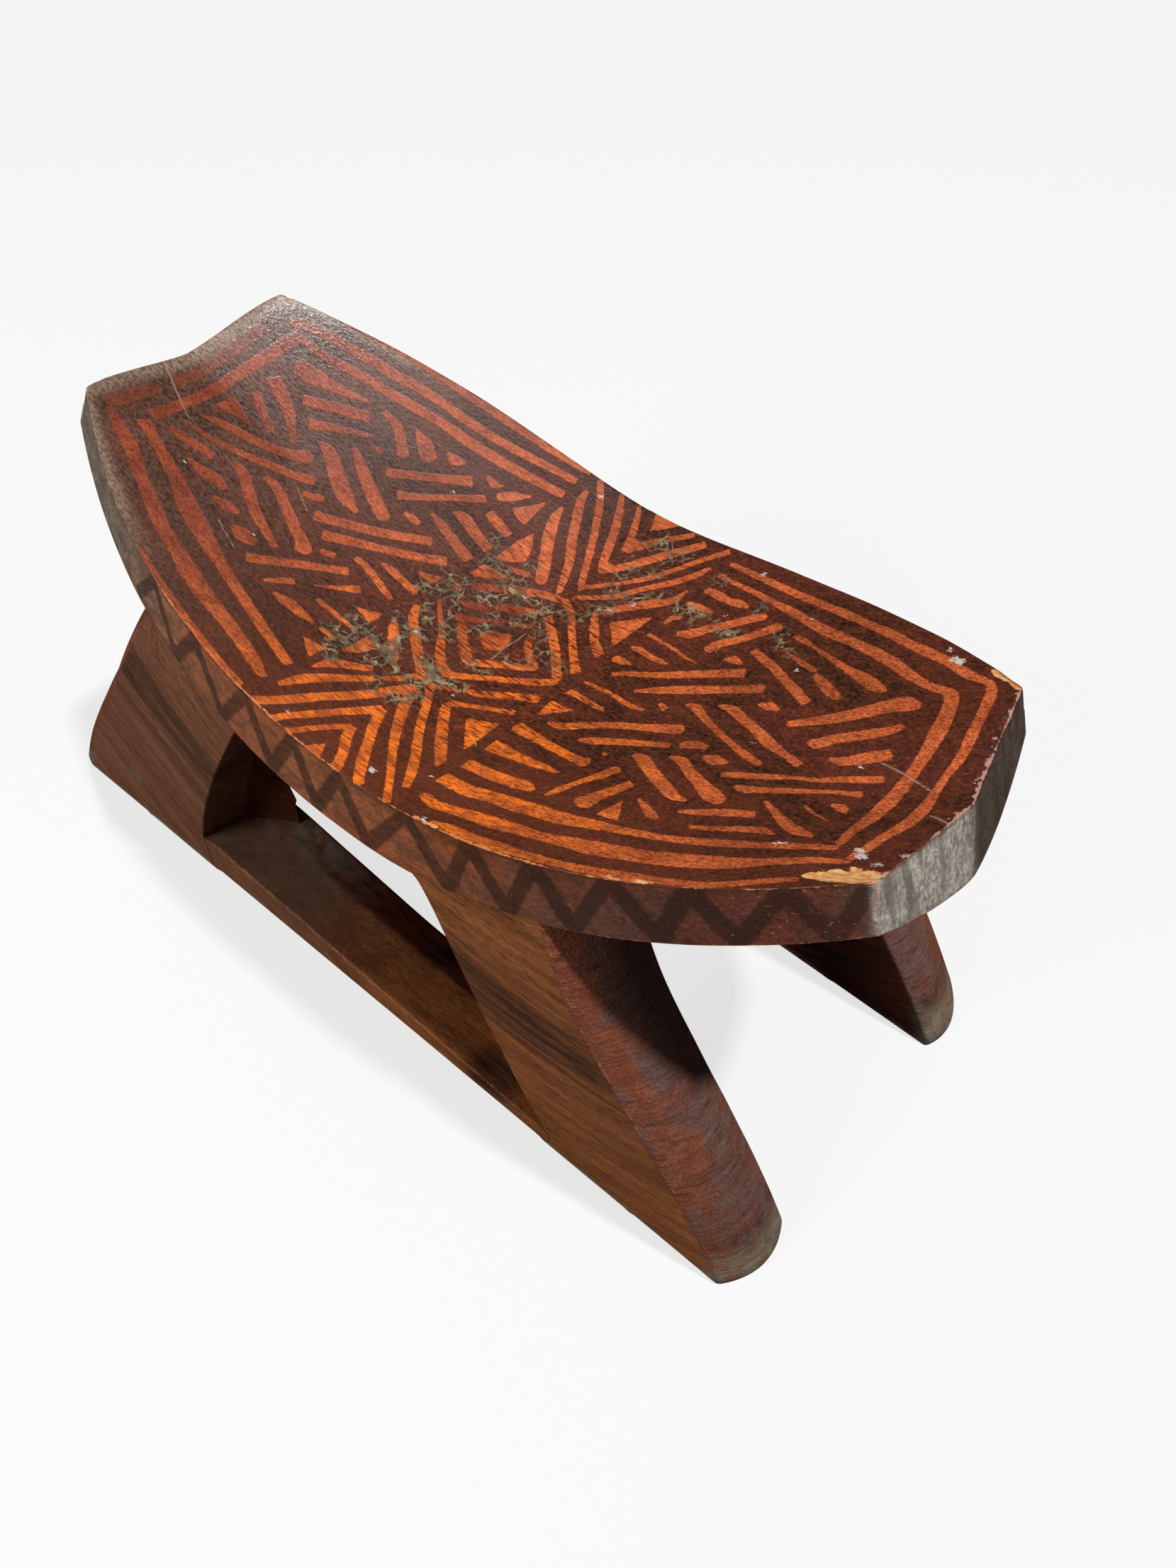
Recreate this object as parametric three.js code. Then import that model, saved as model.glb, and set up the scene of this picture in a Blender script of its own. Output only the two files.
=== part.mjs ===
// A low stool carved from one block of wood, divided here into the members that the carver worked.
// A dished, boat-shaped seat stands on two side walls, with a tunnel between them from end to end.
// Each wall has a window, so it is two legs that spread toward the ground and a rail that joins their feet.
// Lengths are in millimetres. The stool stands on z = 0, with its length along X and its near side toward -Y.
import * as THREE from 'three';

// Seat seen from above
const seatHalfLength = 200;
const seatMidHalfWidth = 109.5;
const seatEndHalfWidth = 57;
const seatOutlinePower = 2.7;

// How far the seat's ends come out past their corners: power 1 is a straight point, more is fuller
const leftPoint = { reach: 5, power: 4 };
const rightTopPoint = { reach: 10, power: 1 };
const rightUnderPoint = { reach: 14, power: 1.5 };

// Seat seen from the side: heights of its long edges above the ground
const edgeHeightMiddle = 198;
const edgeHeightLeft = 248;
const edgeHeightRight = 262;
const edgePowerLeft = 1.63;
const edgePowerRight = 1.58;

// Hollow across the seat, below the long edges
const dishMiddle = 17;
const dishEnd = 12;
const dishPowerMiddle = 2;
const dishPowerEnd = 1.4;

// Thickness of the rim, and how far the slab bellies below it
const rimThicknessMiddle = 38;
const rimThicknessEnd = 22;
const underBellyMiddle = 16;
const underBellyEnd = 25;
const underPowerMiddle = 2;
const underPowerEnd = 1.3;
const underFlare = 2.5;
const endLean = 10;

// Side walls: how much wider they stand than the seat, and their thickness
const groundSplay = 0.5;
const wallThickness = 45;
const groundHalfWidth = seatMidHalfWidth + groundSplay;
const tunnelHalfWidth = groundHalfWidth - wallThickness;
const tunnelArch = 12;
const wallCurvePower = 9;
const seatLegGap = 0.3;

// Legs: reach of the outer ridge from the middle of the stool, at the ground and under the seat
const nearLeftFoot = 233;
const nearLeftTop = 127;
const nearRightFoot = 237;
const nearRightTop = 106;
const farLeftFoot = 250;
const farLeftTop = 110;
const farRightFoot = 250;
const farRightTop = 95;
const legNose = 13;
const noseShare = 0.38;
const legBowShare = 0.023;
const toeRound = 4;
const toeHeight = 9;

// Windows: reach of the cheeks from the middle of the stool, at the sill and under the seat
const windowFootLeft = 119;
const windowTopLeft = 60.5;
const windowCurveLeft = 1.24;
const windowFootRight = 129;
const windowTopRight = 45.5;
const windowCurveRight = 0.82;

// Rails: their inner toe reaches past the walls into the tunnel
const railToe = 8;
const sillHeightLeft = 30;
const sillHeightRight = 11.5;
const sillBreakShare = 0.4;
const sillBreakHeightShare = 0.72;
const sillInnerHeightShare = 0.15;

// Cells that each member's skin is divided into
const seatCells = { along: 36, across: 16, up: 2 };
const legCells = { along: 6, across: 6, up: 13, upToSill: 3 };
const railCells = { along: 10, across: 5, up: 1 };

// Rounds that let the top of a leg settle on the slope of the seat's underside
const legTopSteps = 16;

// Colours of the wood
const seatColour = 0x8a3d1c;
const legColour = 0x6b3f28;
const railColour = 0x5c3624;
const lacqueredRoughness = 0.42;
const bareRoughness = 0.68;

const { lerp, clamp } = THREE.MathUtils;

// Half width of the boat-shaped outline at x, where the outline's tips lie at halfLength
function outlineHalfWidth(x, halfLength) {
  const reach = Math.min(Math.abs(x) / halfLength, 1);
  return lerp(seatMidHalfWidth, seatEndHalfWidth, reach ** seatOutlinePower);
}

// Height of the long edge's upper arris at x
function edgeHeight(x, halfLength) {
  const reach = Math.abs(x) / halfLength;
  const power = x < 0 ? edgePowerLeft : edgePowerRight;
  const tip = x < 0 ? edgeHeightLeft : edgeHeightRight;
  return edgeHeightMiddle + (tip - edgeHeightMiddle) * reach ** power;
}

// Height of the seat's top, where across runs from -1 at the near edge to 1 at the far edge
function topHeight(x, across) {
  const reach = Math.min(Math.abs(x) / seatHalfLength, 1);
  const dish = lerp(dishMiddle, dishEnd, reach);
  const power = lerp(dishPowerMiddle, dishPowerEnd, reach);
  return edgeHeight(x, seatHalfLength) - dish * (1 - Math.abs(across) ** power);
}

const underHalfLength = seatHalfLength + endLean;

// Half width of the seat's underside at x
function underHalfWidth(x) {
  return outlineHalfWidth(x, underHalfLength) + underFlare;
}

// Height of the rim's lower arris at x
function rimLowerHeight(x) {
  const reach = Math.min(Math.abs(x) / underHalfLength, 1);
  const thickness = lerp(rimThicknessMiddle, rimThicknessEnd, reach ** 2);
  return edgeHeight(x, underHalfLength) - thickness;
}

// Height of the seat's underside at a point of the plan
function underHeight(x, y) {
  const reach = Math.min(Math.abs(x) / underHalfLength, 1);
  const belly = lerp(underBellyMiddle, underBellyEnd, reach ** 2);
  const power = lerp(underPowerMiddle, underPowerEnd, reach);
  const across = clamp(y / underHalfWidth(x), -1, 1);
  return rimLowerHeight(x) - belly * (1 - Math.abs(across) ** power);
}

// Half width of the wall's outer face: straight at the ground, following the rim at the top
function wallHalfWidth(x, z) {
  const rise = clamp(z / rimLowerHeight(x), 0, 1);
  return lerp(groundHalfWidth, underHalfWidth(x), rise ** wallCurvePower);
}

// Half width of the tunnel at height z, drawn in under the seat as an arch
function tunnelHalfWidthAt(z, topZ) {
  const rise = clamp(z / topZ, 0, 1);
  return tunnelHalfWidth - tunnelArch * rise ** wallCurvePower;
}

// Height of the sill's outer arris at x, falling from the left window corner to the right one
function sillHeight(x) {
  const along = (x + windowFootLeft) / (windowFootLeft + windowFootRight);
  return lerp(sillHeightLeft, sillHeightRight, clamp(along, 0, 1));
}

// Closed skin of a block divided into cells: place(a, b, c), each from 0 to 1, says where a point goes
function blockGeometry(cells, place, mirrored) {
  const positions = [];
  const triangles = [];
  const numbers = new Map();

  function corner(i, j, k) {
    const key = `${i} ${j} ${k}`;
    if (!numbers.has(key)) {
      numbers.set(key, numbers.size);
      const point = place(i / cells.along, j / cells.across, k / cells.up);
      positions.push(point.x, point.y, point.z);
    }
    return numbers.get(key);
  }

  function addQuad(p, q, r, s) {
    const order = mirrored ? [p, r, q, p, s, r] : [p, q, r, p, r, s];
    triangles.push(...order);
  }

  for (let i = 0; i < cells.along; i += 1) {
    for (let j = 0; j < cells.across; j += 1) {
      const top = cells.up;
      addQuad(corner(i, j, 0), corner(i, j + 1, 0), corner(i + 1, j + 1, 0), corner(i + 1, j, 0));
      addQuad(corner(i, j, top), corner(i + 1, j, top), corner(i + 1, j + 1, top), corner(i, j + 1, top));
    }
  }
  for (let i = 0; i < cells.along; i += 1) {
    for (let k = 0; k < cells.up; k += 1) {
      const far = cells.across;
      addQuad(corner(i, 0, k), corner(i + 1, 0, k), corner(i + 1, 0, k + 1), corner(i, 0, k + 1));
      addQuad(corner(i, far, k), corner(i, far, k + 1), corner(i + 1, far, k + 1), corner(i + 1, far, k));
    }
  }
  for (let j = 0; j < cells.across; j += 1) {
    for (let k = 0; k < cells.up; k += 1) {
      const end = cells.along;
      addQuad(corner(0, j, k), corner(0, j, k + 1), corner(0, j + 1, k + 1), corner(0, j + 1, k));
      addQuad(corner(end, j, k), corner(end, j + 1, k), corner(end, j + 1, k + 1), corner(end, j, k + 1));
    }
  }

  const geometry = new THREE.BufferGeometry();
  geometry.setAttribute('position', new THREE.Float32BufferAttribute(positions, 3));
  geometry.setIndex(triangles);
  geometry.computeVertexNormals();
  return geometry;
}

function woodMaterial(colour, roughness) {
  return new THREE.MeshStandardMaterial({ color: colour, roughness, metalness: 0 });
}

function makeMesh(name, geometry, material) {
  const mesh = new THREE.Mesh(geometry, material);
  mesh.name = name;
  return mesh;
}

// How far the seat's end stands out past its corners at a point across it
function endPoint(point, across) {
  return point.reach * (1 - Math.abs(across) ** point.power);
}

// Seat: a slab between its dished top and its bellied underside, with ends that come to a low point
function placeSeatPoint(a, b, c) {
  const along = 2 * a - 1;
  const across = 2 * b - 1;
  const topPoint = along < 0 ? leftPoint : rightTopPoint;
  const underPoint = along < 0 ? leftPoint : rightUnderPoint;
  const topX = along * (seatHalfLength + endPoint(topPoint, across));
  const underX = along * (underHalfLength + endPoint(underPoint, across));
  const top = new THREE.Vector3(topX, across * outlineHalfWidth(topX, seatHalfLength), topHeight(topX, across));
  const underY = across * underHalfWidth(underX);
  const under = new THREE.Vector3(underX, underY, underHeight(underX, underY));
  return under.lerp(top, c);
}

function makeSeat() {
  const geometry = blockGeometry(seatCells, placeSeatPoint, false);
  return makeMesh('seat', geometry, woodMaterial(seatColour, lacqueredRoughness));
}

// Reach of a leg's end face from the middle of the stool, where outward runs from 0 at the tunnel to 1 outside
function legEndReach(leg, z, topZ, outward) {
  const rise = clamp(z / topZ, 0, 1);
  const share = 1 - rise + legBowShare * Math.sin(2 * Math.PI * rise);
  const ridge = lerp(leg.top, leg.foot, share);
  const nose = legNose * (1 - ((outward - noseShare) / (1 - noseShare)) ** 2);
  const toe = toeRound * Math.max(1 - z / toeHeight, 0) ** 2;
  return ridge + nose - toe;
}

// Reach of a leg's cheek beside the window, upright below the sill where the rail meets it
function legCheekReach(leg, z, topZ) {
  const rise = clamp((z - leg.sill) / (topZ - leg.sill), 0, 1);
  return lerp(leg.windowFoot, leg.windowTop, rise ** leg.windowCurve);
}

// A leg fills the wall from the ground to the seat's underside, between its cheek and its end face
function legPlacer(leg) {
  const sillShare = legCells.upToSill / legCells.up;

  function planAt(a, b, z) {
    const middleX = leg.end * lerp(leg.windowTop, leg.top, a);
    const topZ = rimLowerHeight(middleX);
    const reach = lerp(legCheekReach(leg, z, topZ), legEndReach(leg, z, topZ, b), a);
    const x = leg.end * reach;
    const y = leg.side * lerp(tunnelHalfWidthAt(z, topZ), wallHalfWidth(x, z), b);
    return { x, y };
  }

  function topOf(a, b) {
    let z = rimLowerHeight(leg.end * lerp(leg.windowTop, leg.top, a));
    for (let step = 0; step < legTopSteps; step += 1) {
      const plan = planAt(a, b, z);
      z = underHeight(plan.x, plan.y) - seatLegGap;
    }
    return z;
  }

  return (a, b, c) => {
    const belowSill = c <= sillShare;
    const aboveShare = (c - sillShare) / (1 - sillShare);
    const z = belowSill ? leg.sill * (c / sillShare) : lerp(leg.sill, topOf(a, b), aboveShare);
    const plan = planAt(a, b, z);
    return new THREE.Vector3(plan.x, plan.y, z);
  };
}

function makeLeg(leg) {
  const mirrored = leg.end * leg.side < 0;
  const geometry = blockGeometry(legCells, legPlacer(leg), mirrored);
  return makeMesh(leg.name, geometry, woodMaterial(legColour, bareRoughness));
}

// Rail: its top is a broad sill that slopes gently inward and then falls away to the tunnel floor
function railTopShare(outward) {
  if (outward < sillBreakShare) {
    return lerp(sillInnerHeightShare, sillBreakHeightShare, outward / sillBreakShare);
  }
  return lerp(sillBreakHeightShare, 1, (outward - sillBreakShare) / (1 - sillBreakShare));
}

function railPlacer(side) {
  return (a, b, c) => {
    const x = lerp(-windowFootLeft, windowFootRight, a);
    const y = side * lerp(tunnelHalfWidth - railToe, groundHalfWidth, b);
    return new THREE.Vector3(x, y, c * sillHeight(x) * railTopShare(b));
  };
}

function makeRail(name, side) {
  const geometry = blockGeometry(railCells, railPlacer(side), side < 0);
  return makeMesh(name, geometry, woodMaterial(railColour, bareRoughness));
}

const leftWindow = {
  end: -1,
  windowFoot: windowFootLeft,
  windowTop: windowTopLeft,
  windowCurve: windowCurveLeft,
  sill: sillHeightLeft,
};
const rightWindow = {
  end: 1,
  windowFoot: windowFootRight,
  windowTop: windowTopRight,
  windowCurve: windowCurveRight,
  sill: sillHeightRight,
};
const legs = [
  { ...leftWindow, name: 'near_left_leg', side: -1, foot: nearLeftFoot, top: nearLeftTop },
  { ...rightWindow, name: 'near_right_leg', side: -1, foot: nearRightFoot, top: nearRightTop },
  { ...leftWindow, name: 'far_left_leg', side: 1, foot: farLeftFoot, top: farLeftTop },
  { ...rightWindow, name: 'far_right_leg', side: 1, foot: farRightFoot, top: farRightTop },
];

const stool = new THREE.Group();
stool.add(makeSeat());
for (const leg of legs) {
  stool.add(makeLeg(leg));
}
stool.add(makeRail('near_rail', -1));
stool.add(makeRail('far_rail', 1));

export default stool;
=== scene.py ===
"""A carved wooden stool: a dished, patterned seat, four spread legs and two ground rails.

Shapes are worked out in millimetres and set down in metres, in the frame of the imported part.
"""
import logging
import math
from dataclasses import dataclass, field
from enum import Enum
from typing import Callable, Sequence

import bpy
import numpy as np
from bpy.types import Material, Node, NodeTree, Object, bpy_prop_collection
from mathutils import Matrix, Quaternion, Vector


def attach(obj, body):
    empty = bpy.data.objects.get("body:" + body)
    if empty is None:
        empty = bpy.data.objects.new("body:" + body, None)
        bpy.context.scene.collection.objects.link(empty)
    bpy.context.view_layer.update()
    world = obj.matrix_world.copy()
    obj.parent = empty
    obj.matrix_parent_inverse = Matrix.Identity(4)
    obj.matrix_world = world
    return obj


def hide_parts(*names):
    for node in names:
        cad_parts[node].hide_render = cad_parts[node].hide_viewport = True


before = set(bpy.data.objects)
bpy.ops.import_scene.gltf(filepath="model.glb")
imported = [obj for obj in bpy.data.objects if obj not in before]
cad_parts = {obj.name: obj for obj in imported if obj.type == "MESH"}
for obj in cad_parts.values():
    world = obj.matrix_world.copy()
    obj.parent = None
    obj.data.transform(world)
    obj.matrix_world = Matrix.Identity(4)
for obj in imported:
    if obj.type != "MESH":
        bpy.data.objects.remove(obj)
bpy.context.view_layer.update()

LOG = logging.getLogger("carved_stool")

# One millimetre, in metres.
MM = 0.001
# Depth of a point outside every stroke, and room kept round a stroke, in millimetres.
OUTSIDE = -20.0
STROKE_ROOM = 6.0
# How far a stroke runs past its last station, in millimetres.
END_PAST = 0.4
# Parts of a stroke's curve between two stations.
CURVE_PARTS = 4
# Entries in the table of seeded noise, and the factors that spread places over it.
NOISE_ENTRIES = 4096
NOISE_FACTORS = np.array((73856093, 19349663, 83492791))
# How deep hand tools cut, how much that varies, over what lengths, and the noise's seed.
CUT_DEPTH = 0.6
CUT_SWING = 0.25
CUT_LUMPS = (34.0, 20.0, 22.0)
CUT_SEED = 3
# The wood's rings rise by RING_BEND times the square of the way from RING_MIDDLE along the stool.
RING_BEND = 0.00213
RING_MIDDLE = 86.0
# Gap given to an arris that lies against another member, so that no wear shows on it.
COVERED_GAP = 9.0
# Rounding that leaves an arris square, and the least length that anything is divided by.
SQUARE = 1e-6
TINY = 1e-9
# Where the first rows of points lie across a rounded arris, as shares of its rounding.
ARRIS_ROWS = np.array((0.0, 0.2, 0.45, 0.7))
# Faces that meet at more than this angle keep a crisp edge.
CRISP_ANGLE = math.radians(42.0)
WHITE = (1.0, 1.0, 1.0, 1.0)

Array = np.ndarray
Placer = Callable[[Array, Array, Array], Array]
Rounding = Callable[[Array], Array]
Span = tuple[float, float]
Triple = tuple[float, float, float]
Stroke = tuple[float, ...]
Patch = tuple[Span, ...]
Colour = tuple[float, float, float, float]
Socket = bpy.types.NodeSocket
Feed = Socket | float | Sequence[float]


class Slot(Enum):
    """The record's names for the wood of each kind of member."""

    SEAT = "patterned_seat_wood"
    LEG = "carved_leg_wood"
    RAIL = "carved_rail_wood"


def lerp(low: Array, high: Array, share: Array) -> Array:
    """Value that lies share of the way from low to high."""
    return low + (high - low) * share


def smooth(low: float, high: float, value: Array) -> Array:
    """Eased step that is 0 at low and 1 at high."""
    share = np.clip((value - low) / (high - low), 0.0, 1.0)
    return share * share * (3.0 - 2.0 * share)


def lumps(points: Array, size: Sequence[float], seed: int) -> Array:
    """Smooth seeded noise between -1 and 1, for the unevenness that hand tools leave.

    Args:
        points: Places in millimetres, one row each.
        size: Length of one lump along X, Y and Z.
        seed: Which noise it is.

    Returns:
        One value for each row.
    """
    table = np.random.default_rng(seed).uniform(-1.0, 1.0, NOISE_ENTRIES)
    place = points / np.asarray(size, dtype=float)
    cell = np.floor(place).astype(np.int64)
    part = smooth(0.0, 1.0, place - cell)
    total = np.zeros(len(points))
    for corner in range(8):
        step = np.array([corner & 1, corner >> 1 & 1, corner >> 2 & 1])
        pick = np.bitwise_xor.reduce((cell + step) * NOISE_FACTORS, axis=1)
        weight = np.where(step == 1, part, 1.0 - part).prod(axis=1)
        total += table[pick % NOISE_ENTRIES] * weight
    return total


def hand_cut(points: Array) -> Array:
    """How far hand tools have cut inside the true shape at each point, in millimetres."""
    return CUT_DEPTH + CUT_SWING * lumps(points, CUT_LUMPS, CUT_SEED)


def curve_through(stroke: Stroke) -> Array:
    """Smooth curve through a stroke's stations.

    Args:
        stroke: Stations of x, y and width.

    Returns:
        Rows of x, y and width along the curve.
    """
    knots = np.array(stroke, dtype=float).reshape(-1, 3)
    if len(knots) < 3:
        return knots
    ends = np.vstack([2 * knots[0] - knots[1], knots, 2 * knots[-1] - knots[-2]])
    before, start, finish, after = ends[:-3], ends[1:-2], ends[2:-1], ends[3:]
    rows = []
    for share in np.arange(CURVE_PARTS) / CURVE_PARTS:
        turn = (2 * before - 5 * start + 4 * finish - after) * share**2
        twist = (3 * start - before - 3 * finish + after) * share**3
        rows.append(start + 0.5 * ((finish - before) * share + turn + twist))
    run = np.vstack([np.stack(rows, 1).reshape(-1, 3), knots[-1]])
    run[:, 2] = np.interp(np.arange(len(run)), np.arange(0, len(run), CURVE_PARTS), knots[:, 2])
    return run


def depth_in_run(run: Array, x: Array, y: Array) -> Array:
    """How deep each point lies inside a run of changing width, whose two ends are cut square.

    Args:
        run: Rows of x, y and width.
        x: Places along the seat.
        y: Places across it.

    Returns:
        One depth for each place, in millimetres; less than nothing is outside.
    """
    best = np.full(len(x), OUTSIDE)
    last = len(run) - 2
    for order, ((x0, y0, w0), (x1, y1, w1)) in enumerate(zip(run[:-1], run[1:])):
        length = max(math.hypot(x1 - x0, y1 - y0), TINY)
        ahead = ((x - x0) * (x1 - x0) + (y - y0) * (y1 - y0)) / length
        aside = np.abs((x - x0) * (y1 - y0) - (y - y0) * (x1 - x0)) / length
        past = np.maximum(-ahead, 0.0) + np.maximum(ahead - length, 0.0)
        width = lerp(w0, w1, np.clip(ahead / length, 0.0, 1.0))
        depth = width / 2 - np.hypot(aside, past)
        if order == 0:
            depth = np.minimum(depth, ahead + END_PAST)
        if order == last:
            depth = np.minimum(depth, length - ahead + END_PAST)
        best = np.maximum(best, depth)
    return best


def depth_in_strokes(strokes: Sequence[Stroke], x: Array, y: Array) -> Array:
    """How deep each point lies in the nearest of many strokes.

    Args:
        strokes: Stations of x, y and width along each stroke.
        x: Places along the seat.
        y: Places across it.

    Returns:
        One depth for each place, in millimetres; less than nothing is outside.
    """
    best = np.full(len(x), OUTSIDE)
    for stroke in strokes:
        run = curve_through(stroke)
        margin = run[:, 2].max() / 2 + STROKE_ROOM
        low, high = run.min(axis=0)[:2] - margin, run.max(axis=0)[:2] + margin
        near = np.flatnonzero((x > low[0]) & (x < high[0]) & (y > low[1]) & (y < high[1]))
        best[near] = np.maximum(best[near], depth_in_run(run, x[near], y[near]))
    return best


def depth_in_patches(patches: Sequence[Patch], x: Array, y: Array) -> Array:
    """How deep each point lies in the nearest of some patches with straight sides.

    Args:
        patches: Corners of each, in order, none of them re-entrant.
        x: Places along the seat.
        y: Places across it.

    Returns:
        One depth for each place, in millimetres; less than nothing is outside.
    """
    best = np.full(len(x), OUTSIDE)
    for patch in patches:
        corners = np.array(patch, dtype=float)
        middle = corners.mean(axis=0)
        depth = np.full(len(x), -OUTSIDE)
        for (x0, y0), (x1, y1) in zip(corners, np.roll(corners, -1, axis=0)):
            out = np.array([y1 - y0, x0 - x1]) / math.hypot(x1 - x0, y1 - y0)
            out *= np.sign((middle - (x0, y0)) @ out)
            depth = np.minimum(depth, (x - x0) * out[0] + (y - y0) * out[1])
        best = np.maximum(best, depth)
    return best


def depth_in_dots(dots: Stroke, x: Array, y: Array) -> Array:
    """How deep each point lies in the nearest of some dots, each an x, a y and a width."""
    rows = np.array(dots, dtype=float).reshape(-1, 3)
    return np.max([size / 2 - np.hypot(x - x0, y - y0) for x0, y0, size in rows], axis=0)


@dataclass(frozen=True)
class SeatPattern:
    """Strokes of bare wood left in the seat's dark stain, read from the photograph.

    Each stroke is a row of stations, and each station is an x, a y and a width in plan, in millimetres.
    """

    left_field: tuple[Stroke, ...] = (
        (-171, 39, 10, -160, 42.5, 8, -138.5, 53.5, 1.5),
        (-157.5, 28.5, 5.5, -146, 38, 5.5, -133, 47.5, 6),
        (-147, 21.5, 6, -138, 30.5, 4, -124, 42, 2),
        (-120.5, 37.5, 2.5, -116, 38.8, 4),
        (-173.5, 25, 7.5, -157, 18, 6, -144, 8, 2.5),
        (-173, 12.3, 4.5, -164, 8, 4.5, -154, 3.8, 3.5),
        (-174, -18, 1.5, -167, -13, 4.5, -150, -4.3, 5, -139, 3.5, 5.5, -134.5, 8.5, 8),
        (-175, -27.5, 2, -163, -23.5, 2.5, -150, -16.5, 3.5, -138, -8.5, 4.5, -130, -4, 4.5, -124, 1.5, 6),
        (-121, -7.5, 3, -117, -5.5, 3.5, -114.5, -2.5, 4.5),
        (-136, -16.5, 3, -130, -16.5, 5, -120, -20, 5, -108, -25.5, 6, -101, -28, 6, -97, -31, 8),
        (-148.5, -24.5, 3, -142, -24.5, 5.5, -130, -31.3, 5.5, -120, -36, 5.5, -104.5, -41, 3.5),
        (-174, -35.5, 2.5, -168, -34.5, 5, -158, -30.5, 5, -154.5, -31.5, 1.5),
        (-158, -40.5, 2, -150, -39.5, 6.5, -145, -37.5, 6, -139, -37.5, 3.5),
        (-137.5, -45.5, 2.5, -131, -43.5, 6, -126.5, -42, 3),
        (-121.5, -49, 2.5, -116, -48.5, 8, -111, -48, 5),
        (-105.5, -56, 5, -96, -43.8, 4.8, -85.4, -31.2, 4.2, -77.5, -23, 5),
        (-79.5, -41.5, 0.8, -73, -33.5, 2.5, -67, -26, 5),
        (-92.5, -25, 3, -87.5, -21.5, 3.5),
        (-92.5, -58, 2, -86, -47.5, 4),
        (-73, -46, 2.5, -64, -45.5, 3, -52, -44.5, 2),
        (-85, -59.5, 2, -78, -58.3, 6, -70, -57.5, 4.5, -64, -57, 1),
        (-60, -56.3, 2.5, -52, -56, 2.5),
        (-130, 55.5, 3, -121, 55, 5.5, -113, 49.5, 5.5, -108.5, 46, 6),
        (-114, 61.2, 1.5, -106, 58.7, 8, -99.5, 54.5, 8.5),
        (-95.5, 64, 1.5, -90.5, 64, 6, -86, 66.8, 1.5),
        (-107, 33, 5, -97.3, 42.3, 4.5, -86.5, 52.5, 4.5, -77, 61.5, 6.5),
        (-95, 28, 5.5, -89, 33.5, 4, -77.7, 46.5, 3.5, -66, 59, 4.5),
        (-73.5, 69.5, 2, -68.5, 68.5, 4.5, -64.5, 71, 1),
        (-62.3, 64.5, 4.5, -57.5, 70, 5.5, -51, 76.3, 1),
        (-59, 54.5, 5, -52, 53, 5.5, -44.5, 51.5, 4.5),
        (-71, 41, 1.5, -65.5, 43, 6.5, -56, 40.5, 6, -45.5, 38.5, 5),
        (-77.5, 32.7, 1.5, -71, 32, 4.5, -60, 29.5, 5.5, -48, 26.7, 5.5),
        (-85.5, 23, 2.5, -81.5, 23.7, 4, -77.5, 24, 3),
        (-109, -12.5, 6, -100, -5.5, 5.5, -88.5, 3, 5, -77, 12.3, 5, -66.5, 21, 5),
        (-99, -17.5, 6, -91.5, -11, 5.5, -80.8, -2.7, 4.5, -64.2, 9.6, 4.5, -54.5, 18, 5.5),
        (-125, 29.8, 2.5, -118, 26, 5.5, -108, 21, 7, -97, 16, 7, -89.5, 13, 6.5),
        (-136.5, 18.3, 3, -130.5, 18.3, 7, -120, 12.5, 8.5, -109, 6.8, 8, -100, 5, 2),
        (-72, -7, 1.5, -66, -6, 4.5, -57, -6.5, 4, -51, -6, 4.5),
        (-81, -14, 3.5, -72, -14.5, 4, -62, -17, 3.5, -55, -18.5, 2.5),
    )
    left_borders: tuple[Stroke, ...] = (
        (-40, 88.5, 4.5, -60, 84, 5.5, -75, 80.5, 6, -90, 77.2, 6, -110, 73.6, 5.5, -130, 67, 5.5,
         -150, 60.3, 5, -170, 52.3, 4.5, -178, 50.5, 4, -182, 46, 6, -183, 30, 6, -184, 11, 5.5,
         -183.3, 0, 6, -182.8, -10.7, 5, -182.5, -20, 5, -182, -30, 5, -181.8, -39, 5.5),
        (-180.5, -44.5, 6.5, -170, -47.2, 4.7, -160, -50.2, 6, -150, -53.3, 6.5, -140, -58, 9,
         -130, -61.2, 9, -120, -64.5, 8, -110, -67.5, 6, -90, -72.7, 5, -70, -77.7, 5, -52, -82.2, 4.5),
        (-40, 98.7, 4, -55, 96, 4.5, -70, 92, 4.8, -85, 88.2, 5, -100, 85, 5.5, -115, 82.3, 5,
         -130, 78.4, 5.5, -140, 74.2, 6, -150, 71.5, 5.5, -160, 67.2, 5.5, -170, 63.5, 5.5, -180, 58.5, 5.5,
         -188, 51.5, 5),
        (-194, 40, 5.5, -194.5, 20, 5.8, -194, 5, 5.5, -193.5, -8, 5.5, -193, -16, 6.5),
        (-192.5, -25, 4, -193, -33, 6.5, -192, -45, 6.5, -192, -53, 4.5),
        (-189, -54, 2, -180, -57, 6, -170, -59.7, 6.5, -160, -65, 6, -150, -69, 6, -140, -73.3, 7,
         -130, -77, 6, -120, -79.5, 6.5, -110, -82.7, 8.5, -100, -85.2, 8, -85, -87.3, 6.5, -70, -90.2, 6,
         -60, -93, 5.5, -52, -95.7, 3.5),
        (-38, 107.5, 3.5, -55, 105, 4, -70, 103, 5, -85, 100.5, 5, -100, 97.4, 4.5, -115, 94.2, 4,
         -130, 90.5, 3.5, -145, 86, 3, -160, 80, 3, -172, 74, 3),
        (-126, -92.5, 1.5, -110, -97.3, 4.5, -90, -102, 5.5, -70, -105.2, 5.5, -53, -106.7, 4),
    )
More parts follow.
